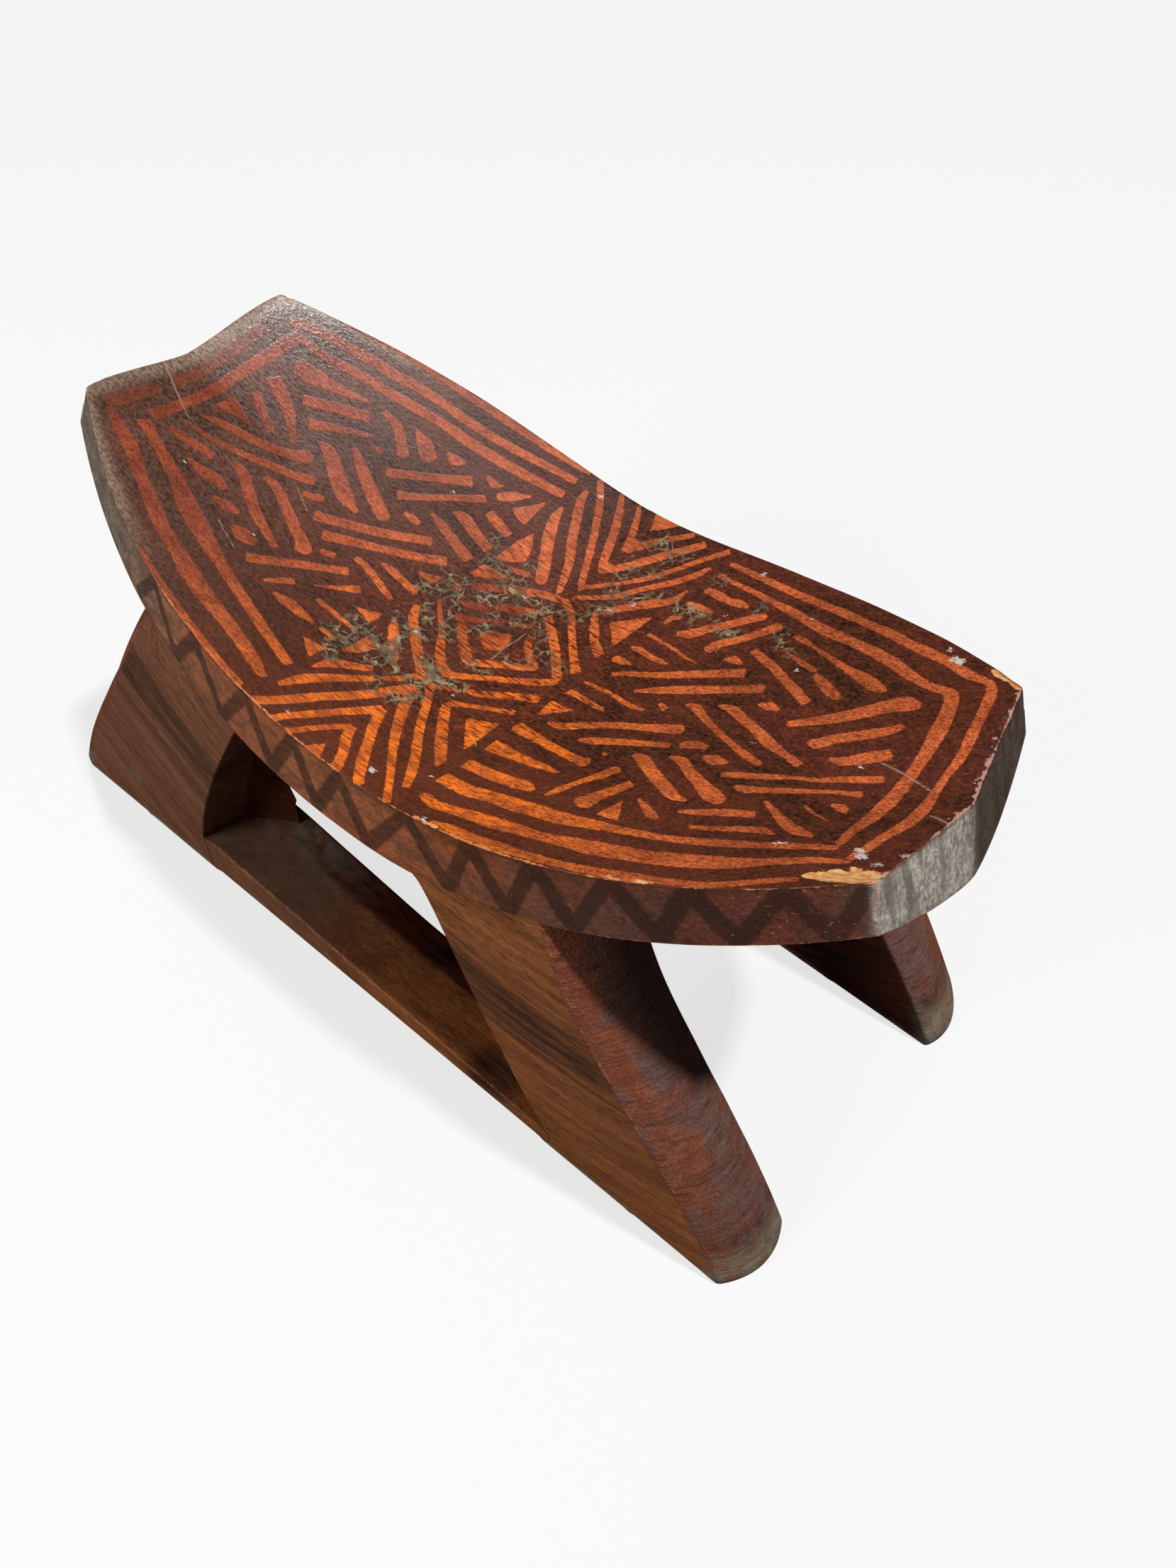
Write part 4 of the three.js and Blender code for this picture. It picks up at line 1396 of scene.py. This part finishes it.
    def marked(self, wood: WoodBench, colour: Feed) -> tuple[Socket, Socket]:
        """Adds flaked lacquer, cracks, chips and white flecks, some of the flecks being painted glints.

        Args:
            wood: The material's bench.
            colour: The colour without them.

        Returns:
            The colour with them, and a mask of where the lacquer is gone.
        """
        place, on_top = wood.place, wood.trait("top_side")
        depth = wood.uneven("flake_depth", place, self.flake_thorns, self.flake_hairs)
        web = wood.times(self.lacquer_web(wood), wood.step(depth, -4.0, -1.0))
        flaked = wood.math("MAXIMUM", wood.step(depth, 0.3, 0.8), wood.times(web, 0.6))
        flaked = wood.times(flaked, on_top)
        shade = wood.times(wood.step(depth, -2.2, 0.2), on_top)
        chalky = wood.blend(wood.speckle(place, self.flake_tone), self.slate, self.khaki)
        cracked = wood.step(wood.uneven("crack_depth", place, self.crack_wobble), -0.25, 0.35)
        ragged = wood.uneven("chip_depth", place, self.chip_splinters, self.crack_wobble)
        chipped = wood.step(ragged, -0.2, 0.4)
        split = wood.blend(wood.speckle(place, self.chip_grain), self.peach, self.cream)
        flecked = wood.step(wood.uneven("fleck_depth", place, self.fleck_streaks), 0.0, 0.6)
        colour = wood.coats(
            colour,
            (shade, 0.5, self.ink_dark),
            (flaked, 0.92, chalky),
            (cracked, 0.6, self.glint),
            (chipped, 1.0, split),
            (flecked, 0.85, self.white),
        )
        return colour, wood.math("MAXIMUM", flaked, chipped)


@dataclass(frozen=True)
class BareFinish:
    """Bare carved wood, satin on the outside and weathered grey on the legs' end faces.

    Each span is where a change begins and where it is whole, in millimetres.
    """

    slot: Slot
    gloss: float = 0.2
    roughness: float = 0.46
    golden: Colour = tint(212, 130, 74)
    dull: Colour = tint(180, 120, 88)
    brown: Colour = tint(116, 65, 39)
    dark: Colour = tint(46, 28, 20)
    heart: Colour = tint(74, 50, 42)
    red: Colour = tint(122, 52, 28)
    chopped: Colour = tint(154, 90, 65)
    lilac: Colour = tint(128, 97, 88)
    dust: Colour = tint(150, 138, 116)
    pale: Colour = tint(208, 130, 74)
    chop: Speckle = Speckle((0.004, 0.04, 0.34), 0.4, 0.6, 3.0)
    cloud_steps: Triple = (0.03, 0.07, 0.05)
    golden_right: Span = (-60.0, 40.0)
    grey_inner: Span = (106.0, 84.0)
    damp_above: Span = (34.0, 25.0)
    damp_below: Span = (16.0, 23.0)

    def build(self, effects: Effects) -> Material:
        """Makes the material.

        Args:
            effects: The shared effects.

        Returns:
            The material.
        """
        wood = WoodBench(self.slot, effects, self.gloss, RING_BEND)
        figure, mottle = wood.figure, wood.mottle
        end_side, chops = wood.trait("end_side"), wood.speckle(wood.place, self.chop)
        # Faces toward the tunnel take the hollow colour, which is painted shade.
        colour = wood.blend(wood.trait("inside"), self.side(wood), self.hollow(wood))
        colour = wood.blend(end_side, colour, self.end(wood, chops))
        colour = wood.shaded(colour, figure["Fibres"], 0.82, 0.28)
        dusty = wood.math("MULTIPLY", wood.trait("dusty"), wood.plus(0.35, mottle["Blotches"]), clamp=True)
        colour = wood.coats(colour, (dusty, 1.0, self.dust), (wood.worn, 0.8, self.pale))
        height = wood.times(wood.times(wood.checks, end_side), -0.15)
        height = wood.lifted(height, figure["Pores"], -0.12)
        height = wood.lifted(height, wood.times(chops, end_side), 0.16)
        height = wood.lifted(height, mottle["Grit"], wood.lifted(0.04, end_side, 0.12))
        rough = wood.lifted(self.roughness, end_side, 0.22)
        return wood.finish(colour, wood.lifted(rough, mottle["Grit"], 0.12), height)

    def side(self, wood: WoodBench) -> Socket:
        """Colour of the outer faces.

        Args:
            wood: The material's bench.

        Returns:
            Golden at the right, duller at the left, with dark heartwood.
        """
        figure = wood.figure
        heart = wood.times(wood.trait("heart"), wood.lifted(0.45, figure["Streaks"], 0.45))
        return wood.coats(
            wood.blend(wood.step(wood.along, *self.golden_right), self.dull, self.golden),
            (figure["Bands"], 0.4, self.brown),
            (figure["Streaks"], 0.45, self.brown),
            (heart, 1.0, self.heart),
            (figure["Lines"], 0.35, self.dark),
            (figure["Pores"], 0.5, self.dark),
        )

    def hollow(self, wood: WoodBench) -> Socket:
        """Colour inside the tunnel: reddish wood, painted dark as the shade in there."""
        inside = wood.blend(wood.figure["Streaks"], self.red, self.dark)
        return wood.coats(inside, (wood.mottle["Clouds"], 0.4, self.brown))

    def end(self, wood: WoodBench, chops: Feed) -> Socket:
        """Colour of the chopped end faces.

        Args:
            wood: The material's bench.
            chops: Mask of the adze's short level marks.

        Returns:
            Reddish brown with grey-lilac patches, dark checks and a damp band near the ground.
        """
        mottle = wood.mottle
        inner = wood.step(wood.math("ABSOLUTE", wood.out), *self.grey_inner)
        cloudy = wood.lifted(wood.noise(wood.place, self.cloud_steps, 5.0, 0.5), inner, 0.25)
        damp = wood.times(wood.step(wood.up, *self.damp_above), wood.step(wood.up, *self.damp_below))
        end = wood.coats(
            wood.blend(wood.step(cloudy, 0.48, 0.76), self.chopped, self.lilac),
            (mottle["Blotches"], 0.4, self.red),
            (wood.times(damp, mottle["Blotches"]), 0.6, self.dark),
        )
        end = wood.shaded(wood.shaded(end, chops, 0.9, 0.14), mottle["Grit"], 0.84, 0.32)
        return wood.coats(end, (mottle["Specks"], 0.3, self.dust), (wood.checks, 0.55, self.dark))


@dataclass
class Seat:
    """The seat: a boat-shaped slab, dished on top and bellied below, with ends that curl up."""

    effects: Effects
    form: StoolForm = FORM
    pattern: SeatPattern = SeatPattern()
    marks: SeatMarks = SeatMarks()
    finish: SeatFinish = SeatFinish()
    cut: BlockCut = BlockCut((410.0, 210.0, 33.0), (1.1, 1.1, 1.8), 1.6)
    rim_height: float = 34.0
    top_band: Span = (0.9, 0.99)
    end_band: Span = (0.985, 0.995)
    end_foot: Span = (0.0, 0.05)
    lower_rounding: float = 0.4
    chip_band: Span = (-0.5, 1.2)
    chip_cut: float = 0.7
    near_wear: float = 1.4
    far_wear: float = 0.8
    left_wear: float = 0.8
    right_wear: float = 2.2
    lower_wear: float = 0.8
    upright_wear: float = 1.8
    near_turns: Stroke = (
        -128, 0.9, 5, -113, 0.06, 5, -98, 0.92, 6, -82, 0.06, 6, -66, 0.92, 6, -49, 0.06, 6, -35, 0.92, 7,
        -21, 0.06, 6, -9, 0.92, 7, 5, 0.1, 6, 20, 0.92, 8, 41, 0.04, 6, 61, 0.92, 7, 70.5, 0.04, 6,
        87.5, 0.92, 7, 97.5, 0.04, 7, 113, 0.92, 7, 125, 0.04, 7, 142, 0.92, 7, 150, 0.04, 7, 165, 0.92, 7,
        177, 0.04, 7, 190, 0.92, 6, 198, 0.1, 6,
    )
    far_turns: Stroke = (
        -186, 0.9, 6, -170, 0.05, 6, -154, 0.92, 7, -139, 0.05, 6, -122, 0.92, 6, -104, 0.05, 7,
        -88, 0.92, 7, -70, 0.05, 6, -55, 0.92, 7, -38, 0.05, 6, -22, 0.92, 7, -6, 0.05, 7, 12, 0.92, 6,
        27, 0.05, 6, 44, 0.92, 7, 60, 0.05, 6, 77, 0.92, 7, 93, 0.05, 6, 110, 0.92, 7, 126, 0.05, 7,
        143, 0.92, 6, 158, 0.05, 6, 172, 0.92, 7, 188, 0.05, 6,
    )

    def place(self, a: Array, b: Array, c: Array) -> Array:
        """Where points of the slab lie.

        Args:
            a: Shares along.
            b: Shares across.
            c: Shares up.

        Returns:
            Rows of x, y and z in millimetres.
        """
        form = self.form
        along = 2.0 * a - 1.0
        across = 2.0 * b - 1.0
        top_point = form.end_point(across, along < 0, form.point_right_top)
        under_point = form.end_point(across, along < 0, form.point_right_under)
        top_x = along * (form.half_length + top_point)
        under_x = along * (form.half_length + form.lean + under_point)
        top_y = across * form.outline(top_x, form.half_length)
        under_y = across * form.under_half_width(under_x)
        top = np.stack([top_x, top_y, form.top(top_x, across)], -1)
        under = np.stack([under_x, under_y, form.underside(under_x, under_y)], -1)
        return lerp(under, top, c[:, None])

    def build(self) -> Object:
        """Builds the slab and dresses it."""
        skin = self.cut.skin(self.place, False, self.radius)
        normals = skin.normals()
        x, y, up = skin.points[:, 0].copy(), skin.points[:, 1].copy(), skin.shares[:, 2]
        outward = np.abs(2.0 * skin.shares[:, 0] - 1.0)
        on_top = up > self.top_band[0]
        traits = {
            "top_side": smooth(*self.top_band, up),
            "end_side": smooth(*self.end_band, outward) * smooth(*self.end_foot, up),
            "zigzag_depth": self.zigzag_depth(skin.shares, y),
            "arris_gap": skin.arris_gap(self.cut.lengths),
            "wear_reach": self.wear_reach(skin.shares),
        }
        depths = {
            "stroke_depth": depth_in_strokes(self.pattern.strokes(), x, y),
            "flake_depth": depth_in_strokes(self.marks.flakes, x, y),
            "crack_depth": depth_in_strokes(self.marks.cracks, x, y),
            "chip_depth": depth_in_strokes(self.marks.chips, x, y),
            "fleck_depth": depth_in_dots(self.marks.flecks, x, y),
        }
        patches = depth_in_patches(self.pattern.patches, x, y)
        depths["stroke_depth"] = np.maximum(depths["stroke_depth"], patches)
        traits.update({name: np.where(on_top, depth, OUTSIDE) for name, depth in depths.items()})
        chipped = self.chip_cut * smooth(*self.chip_band, traits["chip_depth"])
        skin.points -= normals * (hand_cut(skin.points) + chipped)[:, None]
        return make_piece("seat", skin, traits, self.finish.build(self.effects))

    def wear_reach(self, shares: Array) -> Array:
        """How far wear spreads from the nearest arris.

        Args:
            shares: Rows of shares on the slab.

        Returns:
            One reach for each row, in millimetres.
        """
        gaps = np.minimum(shares, 1.0 - shares) * np.array(self.cut.lengths)
        apart = gaps.argmax(axis=1)
        long_edge = np.where(shares[:, 1] < 0.5, self.near_wear, self.far_wear)
        end_edge = np.where(shares[:, 0] < 0.5, self.left_wear, self.right_wear)
        upper = np.where(apart == 0, long_edge, end_edge)
        reach = np.where(shares[:, 2] > 0.5, upper, self.lower_wear)
        return np.where(apart == 2, self.upright_wear, reach)

    def radius(self, shares: Array) -> Array:
        """Rounding at rows of shares: softer along the top than where the legs run on."""
        return np.where(shares[:, 2] > 0.5, self.cut.rounding, self.lower_rounding)

    def zigzag_depth(self, shares: Array, y: Array) -> Array:
        """How deep each point of the long rims lies in a stroke of the zigzag.

        Args:
            shares: Rows of shares on the slab.
            y: Places across it.

        Returns:
            One depth for each row, in millimetres.
        """
        along = (2.0 * shares[:, 0] - 1.0) * self.form.half_length
        drop = (1.0 - shares[:, 2]) * self.rim_height
        depth = np.full(len(y), OUTSIDE)
        for turns, side in ((self.near_turns, -1), (self.far_turns, 1)):
            on_rim = np.flatnonzero((np.sign(y) == side) & (drop > 0.0) & (drop < self.rim_height))
            stroke = np.array(turns).reshape(-1, 3) * (1.0, self.rim_height, 1.0)
            depth[on_rim] = depth_in_run(stroke, along[on_rim], drop[on_rim])
        return depth


@dataclass(frozen=True)
class LegSizes:
    """One leg: which corner it stands at, how far it reaches and how its window is cut.

    Each of its layers of dark heartwood has a height, a half width and a strength.
    """

    name: str
    end: int
    side: int
    foot: float
    top: float
    window_foot: float
    window_top: float
    window_curve: float
    sill: float
    hearts: tuple[Triple, ...]
    web: float = 0.0


@dataclass
class Leg:
    """A leg that spreads from under the seat to the ground, with a rounded nose at its end."""

    sizes: LegSizes
    wood: Material
    form: StoolForm = FORM
    cut: BlockCut = BlockCut((90.0, 45.0, 175.0), (2.4, 2.4, 2.4), 2.0)
    nose: float = 13.0
    nose_share: float = 0.38
    bow_share: float = 0.023
    toe_round: float = 4.0
    toe_height: float = 9.0
    overlap: float = 1.4
    top_steps: int = 16
    sill_share: float = 3.0 / 13.0
    web_top: float = 112.0
    web_drop: float = 66.0
    web_share: float = 0.4
    web_power: float = 1.1
    wear: float = 0.5
    joined_top: Span = (0.97, 1.0)
    heart_fade: Span = (7.0, -5.0)
    sole_dust: Span = (5.0, 0.0)
    nose_dust: Span = (28.0, 12.0)
    dust_strength: float = 0.8
    scuff: Triple = (-173.0, -108.0, 39.0)
    scuff_shape: Triple = (1.0, 1.0, 1.6)
    scuff_fade: Span = (7.0, 2.0)

    def end_reach(self, z: Array, top: Array, outward: Array) -> Array:
        """Reach of the end face.

        Args:
            z: Heights.
            top: Height of the leg's top.
            outward: Shares from the tunnel outward.

        Returns:
            How far each point lies from the stool's middle.
        """
        rise = np.clip(z / top, 0.0, 1.0)
        share = 1.0 - rise + self.bow_share * np.sin(2.0 * math.pi * rise)
        ridge = lerp(self.sizes.top, self.sizes.foot, share)
        off_ridge = (outward - self.nose_share) / (1.0 - self.nose_share)
        toe = self.toe_round * np.maximum(1.0 - z / self.toe_height, 0.0) ** 2
        return ridge + self.nose * (1.0 - off_ridge**2) - toe

    def cheek_reach(self, z: Array, top: Array) -> Array:
        """Reach of the cheek beside the window, upright below the sill."""
        rise = np.clip((z - self.sizes.sill) / (top - self.sizes.sill), 0.0, 1.0)
        return lerp(self.sizes.window_foot, self.sizes.window_top, rise**self.sizes.window_curve)

    def rim_above(self, a: Array) -> Array:
        """Height of the seat's rim over a share of the leg's top."""
        return self.form.rim_lower(self.sizes.end * lerp(self.sizes.window_top, self.sizes.top, a))

    def plan(self, a: Array, b: Array, z: Array) -> tuple[Array, Array]:
        """Plan position of points of the leg.

        Args:
            a: Shares from cheek to end.
            b: Shares from tunnel to outside.
            z: Heights.

        Returns:
            Their x and their y.
        """
        top = self.rim_above(a)
        reach = lerp(self.cheek_reach(z, top) - self.web_reach(b, z), self.end_reach(z, top, b), a)
        x = self.sizes.end * reach
        y = self.sizes.side * lerp(self.form.tunnel(z, top), self.form.wall(x, z), b)
        return x, y

    def place(self, a: Array, b: Array, c: Array) -> Array:
        """Where points of the leg lie.

        Args:
            a: Shares from cheek to end.
            b: Shares from tunnel to outside.
            c: Shares from the ground to the seat.

        Returns:
            Rows of x, y and z in millimetres.
        """
        z_top = self.rim_above(a)
        for _ in range(self.top_steps):
            z_top = self.form.underside(*self.plan(a, b, z_top)) + self.overlap
        above = lerp(self.sizes.sill, z_top, (c - self.sill_share) / (1.0 - self.sill_share))
        z = np.where(c <= self.sill_share, self.sizes.sill * c / self.sill_share, above)
        x, y = self.plan(a, b, z)
        return np.stack([x, y, z], -1)

    def radius(self, shares: Array) -> Array:
        """Rounding of the arrises.

        Args:
            shares: Rows of shares on the leg.

        Returns:
            One radius for each row: none where the leg runs on into the seat or the rail.
        """
        free_top = 1.0 - smooth(*self.joined_top, shares[:, 2])
        below_sill = 1.0 - smooth(self.sill_share, self.sill_share + 0.05, shares[:, 2])
        beside_rail = below_sill * (shares[:, 0] < 0.5)
        return np.maximum(self.cut.rounding * free_top * (1.0 - beside_rail), SQUARE)

    def heart_share(self, x: Array, z: Array) -> Array:
        """How deep in the layers of dark heartwood each point lies.

        Args:
            x: Places along the stool.
            z: Heights.

        Returns:
            One share for each point, from 0 to 1.
        """
        layer = z - RING_BEND * (x - RING_MIDDLE) ** 2
        outer, inner = self.heart_fade
        return np.max([
            share * smooth(half + outer, half + inner, np.abs(layer - middle))
            for middle, half, share in self.sizes.hearts
        ], axis=0)

    def web_reach(self, b: Array, z: Array) -> Array:
        """How far the low corner at the tunnel's side still stands into the window."""
        low = np.clip((self.web_top - z) / self.web_drop, 0.0, 1.0) ** 2
        return self.sizes.web * low * np.clip(1.0 - b / self.web_share, 0.0, 1.0) ** self.web_power

    def on_web(self, shares: Array) -> Array:
        """Mask of the corner that stands into the window, at rows of shares."""
        on_cheek = (shares[:, 0] < 0.01) & (self.sizes.web > 0.0)
        return on_cheek * smooth(self.web_share, self.web_share - 0.05, shares[:, 1])

    def dust(self, skin: Skin) -> Array:
        """How dusty the leg is: along its sole, low on its nose and at one scuff.

        Args:
            skin: The leg's skin.

        Returns:
            One share for each point, from 0 to 1.
        """
        z = skin.points[:, 2]
        off_scuff = (skin.points - np.array(self.scuff)) / self.scuff_shape
        scuffed = smooth(*self.scuff_fade, np.linalg.norm(off_scuff, axis=1))
        nose = smooth(0.9, 1.0, skin.shares[:, 0]) * smooth(*self.nose_dust, z)
        return np.maximum(smooth(*self.sole_dust, z), self.dust_strength * np.maximum(nose, scuffed))

    def build(self) -> Object:
        """Builds the leg and dresses it."""
        skin = self.cut.skin(self.place, self.sizes.end * self.sizes.side < 0, self.radius)
        joined = skin.normals((Face.TOP, Face.BOTTOM))
        skin.points -= joined * hand_cut(skin.points)[:, None]
        shares, (x, _, z) = skin.shares, skin.points.T
        at_seat = shares[:, 2] > self.joined_top[0]
        traits = {
            "arris_gap": skin.arris_gap(self.cut.lengths) + COVERED_GAP * at_seat,
            "wear_reach": np.full(len(z), self.wear),
            "end_side": smooth(0.97, 0.99, shares[:, 0]),
            # inside marks faces toward the tunnel and the web, which are painted dark as shade.
            "inside": np.maximum(smooth(0.1, 0.02, shares[:, 1]), self.on_web(shares)),
            "heart": self.heart_share(x, z),
            "dusty": self.dust(skin),
        }
        return make_piece(self.sizes.name, skin, traits, self.wood)


@dataclass
class Rail:
    """A low runner on the ground that joins the feet of two legs below the window."""

    name: str
    side: int
    wood: Material
    form: StoolForm = FORM
    cut: BlockCut = BlockCut((248.0, 45.0, 18.0), (2.4, 2.2, 2.2), 2.2)
    window_left: float = 119.0
    window_right: float = 129.0
    sill_left: float = 30.0
    sill_right: float = 11.5
    break_share: float = 0.4
    break_height: float = 0.72
    inner_height: float = 0.15
    inner_rise: float = 0.65
    inner_slope: Span = (40.0, -110.0)
    toe: float = 8.0
    joined_ends: Span = (0.0, 0.03)
    covered_end: float = 0.49
    wear: float = 1.0
    inner_side: Span = (0.42, 0.36)
    stain: Triple = (88.0, -102.0, 11.0)
    stain_fade: Span = (20.0, 10.0)
    dust_left: Span = (-10.0, -80.0)
    dust_strength: float = 0.45

    def place(self, a: Array, b: Array, c: Array) -> Array:
        """Where points of the rail lie.

        Args:
            a: Shares along.
            b: Shares outward.
            c: Shares up.

        Returns:
            Rows of x, y and z in millimetres.
        """
        x = lerp(-self.window_left, self.window_right, a)
        inner_edge = self.form.tunnel_half_width - self.toe
        y = self.side * lerp(inner_edge, self.form.ground_half_width, b)
        inner_height = self.inner_height + self.inner_rise * smooth(*self.inner_slope, x)
        inner = lerp(inner_height, self.break_height, b / self.break_share)
        outer = lerp(self.break_height, 1.0, (b - self.break_share) / (1.0 - self.break_share))
        share = np.where(b < self.break_share, inner, outer)
        return np.stack([x, y, c * lerp(self.sill_left, self.sill_right, a) * share], -1)

    def radius(self, shares: Array) -> Array:
        """Rounding at rows of shares: none where the rail runs on into the legs."""
        free = smooth(*self.joined_ends, np.minimum(shares[:, 0], 1.0 - shares[:, 0]))
        return np.maximum(self.cut.rounding * free, SQUARE)

    def build(self) -> Object:
        """Builds the rail and dresses it."""
        skin = self.cut.skin(self.place, self.side < 0, self.radius)
        joined = skin.normals((Face.BOTTOM, Face.START, Face.FINISH))
        skin.points -= joined * hand_cut(skin.points)[:, None]
        x, (along, outward, up) = skin.points[:, 0], skin.shares.T
        off_stain = np.linalg.norm(skin.points - np.array(self.stain), axis=1)
        on_sill = (up > 0.9) * smooth(0.98, 0.9, outward)
        at_leg = np.abs(along - 0.5) > self.covered_end
        traits = {
            "arris_gap": skin.arris_gap(self.cut.lengths) + COVERED_GAP * at_leg,
            "wear_reach": np.where(outward > 0.5, self.wear, 0.0),
            "end_side": np.zeros(len(x)),
            # inside marks the rail's inner slope, which is painted dark as shade.
            "inside": smooth(*self.inner_side, outward),
            "heart": smooth(*self.stain_fade, off_stain),
            "dusty": self.dust_strength * smooth(*self.dust_left, x) * on_sill,
        }
        return make_piece(self.name, skin, traits, self.wood)


def leg_list() -> list[LegSizes]:
    """Sizes of the four legs."""
    left = {"end": -1, "window_foot": 119.0, "window_top": 60.5, "window_curve": 1.24, "sill": 30.0}
    left["hearts"] = ((42.0, 17.0, 0.8), (2.0, 6.0, 0.5), (-60.0, 4.0, 0.3))
    right = {"end": 1, "window_foot": 129.0, "window_top": 45.5, "window_curve": 0.82, "sill": 11.5}
    right["hearts"] = ((108.0, 18.0, 0.95), (134.0, 2.5, 0.7), (150.0, 2.0, 0.6), (60.0, 2.0, 0.3))
    return [
        LegSizes("near_left_leg", side=-1, foot=233.0, top=127.0, web=26.5, **left),
        LegSizes("near_right_leg", side=-1, foot=237.0, top=106.0, **right),
        LegSizes("far_left_leg", side=1, foot=250.0, top=110.0, **left),
        LegSizes("far_right_leg", side=1, foot=250.0, top=95.0, **right),
    ]


@dataclass(frozen=True)
class Lamp:
    """A round soft lamp: its place and width in metres, and its power in watts."""

    name: str
    place: Triple
    size: float
    power: float
    sheen_only: bool = False

    def hang(self, target: Triple) -> None:
        """Hangs the lamp so that it faces a target."""
        data = bpy.data.lights.new(self.name, "AREA")
        data.shape = "DISK"
        data.size = self.size
        data.energy = self.power
        lamp = bpy.data.objects.new(self.name, data)
        lamp.location = self.place
        lamp.rotation_mode = "QUATERNION"
        lamp.rotation_quaternion = (Vector(target) - lamp.location).to_track_quat("-Z", "Y")
        lamp.visible_diffuse = not self.sheen_only
        bpy.context.scene.collection.objects.link(lamp)


@dataclass
class Studio:
    """A plain pale floor, soft light from above and the camera at the photograph's angle."""

    eye: Triple = (0.220848, -0.275232, 0.547256)
    turn: tuple[float, float, float, float] = (0.8901263, 0.3141854, 0.0622857, 0.3241652)
    sensor: float = 36.0
    lens: float = 25.1462
    nearest: float = 0.01
    floor_reach: float = 6.0
    floor_seen: Colour = (0.9, 0.9, 0.9, 1.0)
    floor_lit: Colour = (0.06, 0.06, 0.06, 1.0)
    floor_roughness: float = 0.9
    floor_glow: float = 0.74
    air: float = 0.042
    target: Triple = (0.0, 0.0, 0.12)
    lamps: tuple[Lamp, ...] = (
        Lamp("key_lamp", (1.39, 0.75, 5.92), 0.42, 268.0),
        Lamp("fill_lamp", (-0.6, -1.55, 0.95), 0.9, 12.5),
        Lamp("sheen_lamp", (-0.32, 0.25, 1.83), 0.17, 3.5, sheen_only=True),
    )

    def build(self) -> None:
        """Sets up the floor, the light and the camera."""
        bpy.context.scene.view_settings.view_transform = "Standard"
        self.build_camera()
        self.build_floor()
        self.build_air()
        for lamp in self.lamps:
            lamp.hang(self.target)

    def build_camera(self) -> None:
        """Sets the camera where the photograph was taken from."""
        data = bpy.data.cameras.new("photo_view")
        data.sensor_fit = "VERTICAL"
        data.sensor_height = self.sensor
        data.lens = self.lens
        data.clip_start = self.nearest
        camera = bpy.data.objects.new("photo_view", data)
        camera.rotation_mode = "QUATERNION"
        camera.rotation_quaternion = Quaternion(self.turn)
        camera.location = self.eye
        bpy.context.scene.collection.objects.link(camera)
        bpy.context.scene.camera = camera

    def build_floor(self) -> None:
        """Lays the pale floor that the stool stands on."""
        mesh = bpy.data.meshes.new("floor")
        reach = self.floor_reach
        corners = [(-reach, -reach, 0.0), (reach, -reach, 0.0), (reach, reach, 0.0), (-reach, reach, 0.0)]
        mesh.from_pydata(corners, [], [(0, 1, 2, 3)])
        floor = bpy.data.objects.new("floor", mesh)
        bpy.context.scene.collection.objects.link(floor)
        material = bpy.data.materials.new("pale_floor")
        material.use_nodes = True
        bench, nodes = Bench(material.node_tree), material.node_tree.nodes
        shader = nodes["Principled BSDF"]
        shader.inputs["Roughness"].default_value = self.floor_roughness
        seen = bench.node("ShaderNodeLightPath", {}).outputs["Is Camera Ray"]
        bench.feed(shader.inputs["Base Color"], bench.blend(seen, self.floor_lit, self.floor_seen))
        glow = bench.node("ShaderNodeEmission", {"Strength": 1.0}).outputs[0]
        feeds = {0: bench.times(seen, self.floor_glow), 1: shader.outputs[0], 2: glow}
        mixed = bench.node("ShaderNodeMixShader", feeds).outputs[0]
        bench.feed(nodes["Material Output"].inputs["Surface"], mixed)
        mesh.materials.append(material)

    def build_air(self) -> None:
        """Fills the studio with even soft light behind a white backdrop."""
        world = bpy.data.worlds.new("studio_air")
        bpy.context.scene.world = world
        world.use_nodes = True
        bench, nodes = Bench(world.node_tree), world.node_tree.nodes
        soft = nodes["Background"]
        soft.inputs["Color"].default_value = WHITE
        soft.inputs["Strength"].default_value = self.air
        white = bench.node("ShaderNodeBackground", {"Color": WHITE, "Strength": 1.0}).outputs[0]
        seen = bench.node("ShaderNodeLightPath", {}).outputs["Is Camera Ray"]
        mixed = bench.node("ShaderNodeMixShader", {0: seen, 1: soft.outputs[0], 2: white}).outputs[0]
        bench.feed(nodes["World Output"].inputs["Surface"], mixed)


def main() -> None:
    """Builds the stool, its floor, light and camera."""
    logging.basicConfig(level=logging.INFO, format="%(name)s: %(message)s")
    Studio().build()
    effects = Effects()
    Seat(effects).build()
    leg_wood = BareFinish(Slot.LEG).build(effects)
    for sizes in leg_list():
        Leg(sizes, leg_wood).build()
    rail_wood = BareFinish(Slot.RAIL).build(effects)
    for name, side in (("near_rail", -1), ("far_rail", 1)):
        Rail(name, side, rail_wood).build()


if __name__ == "__main__":
    main()
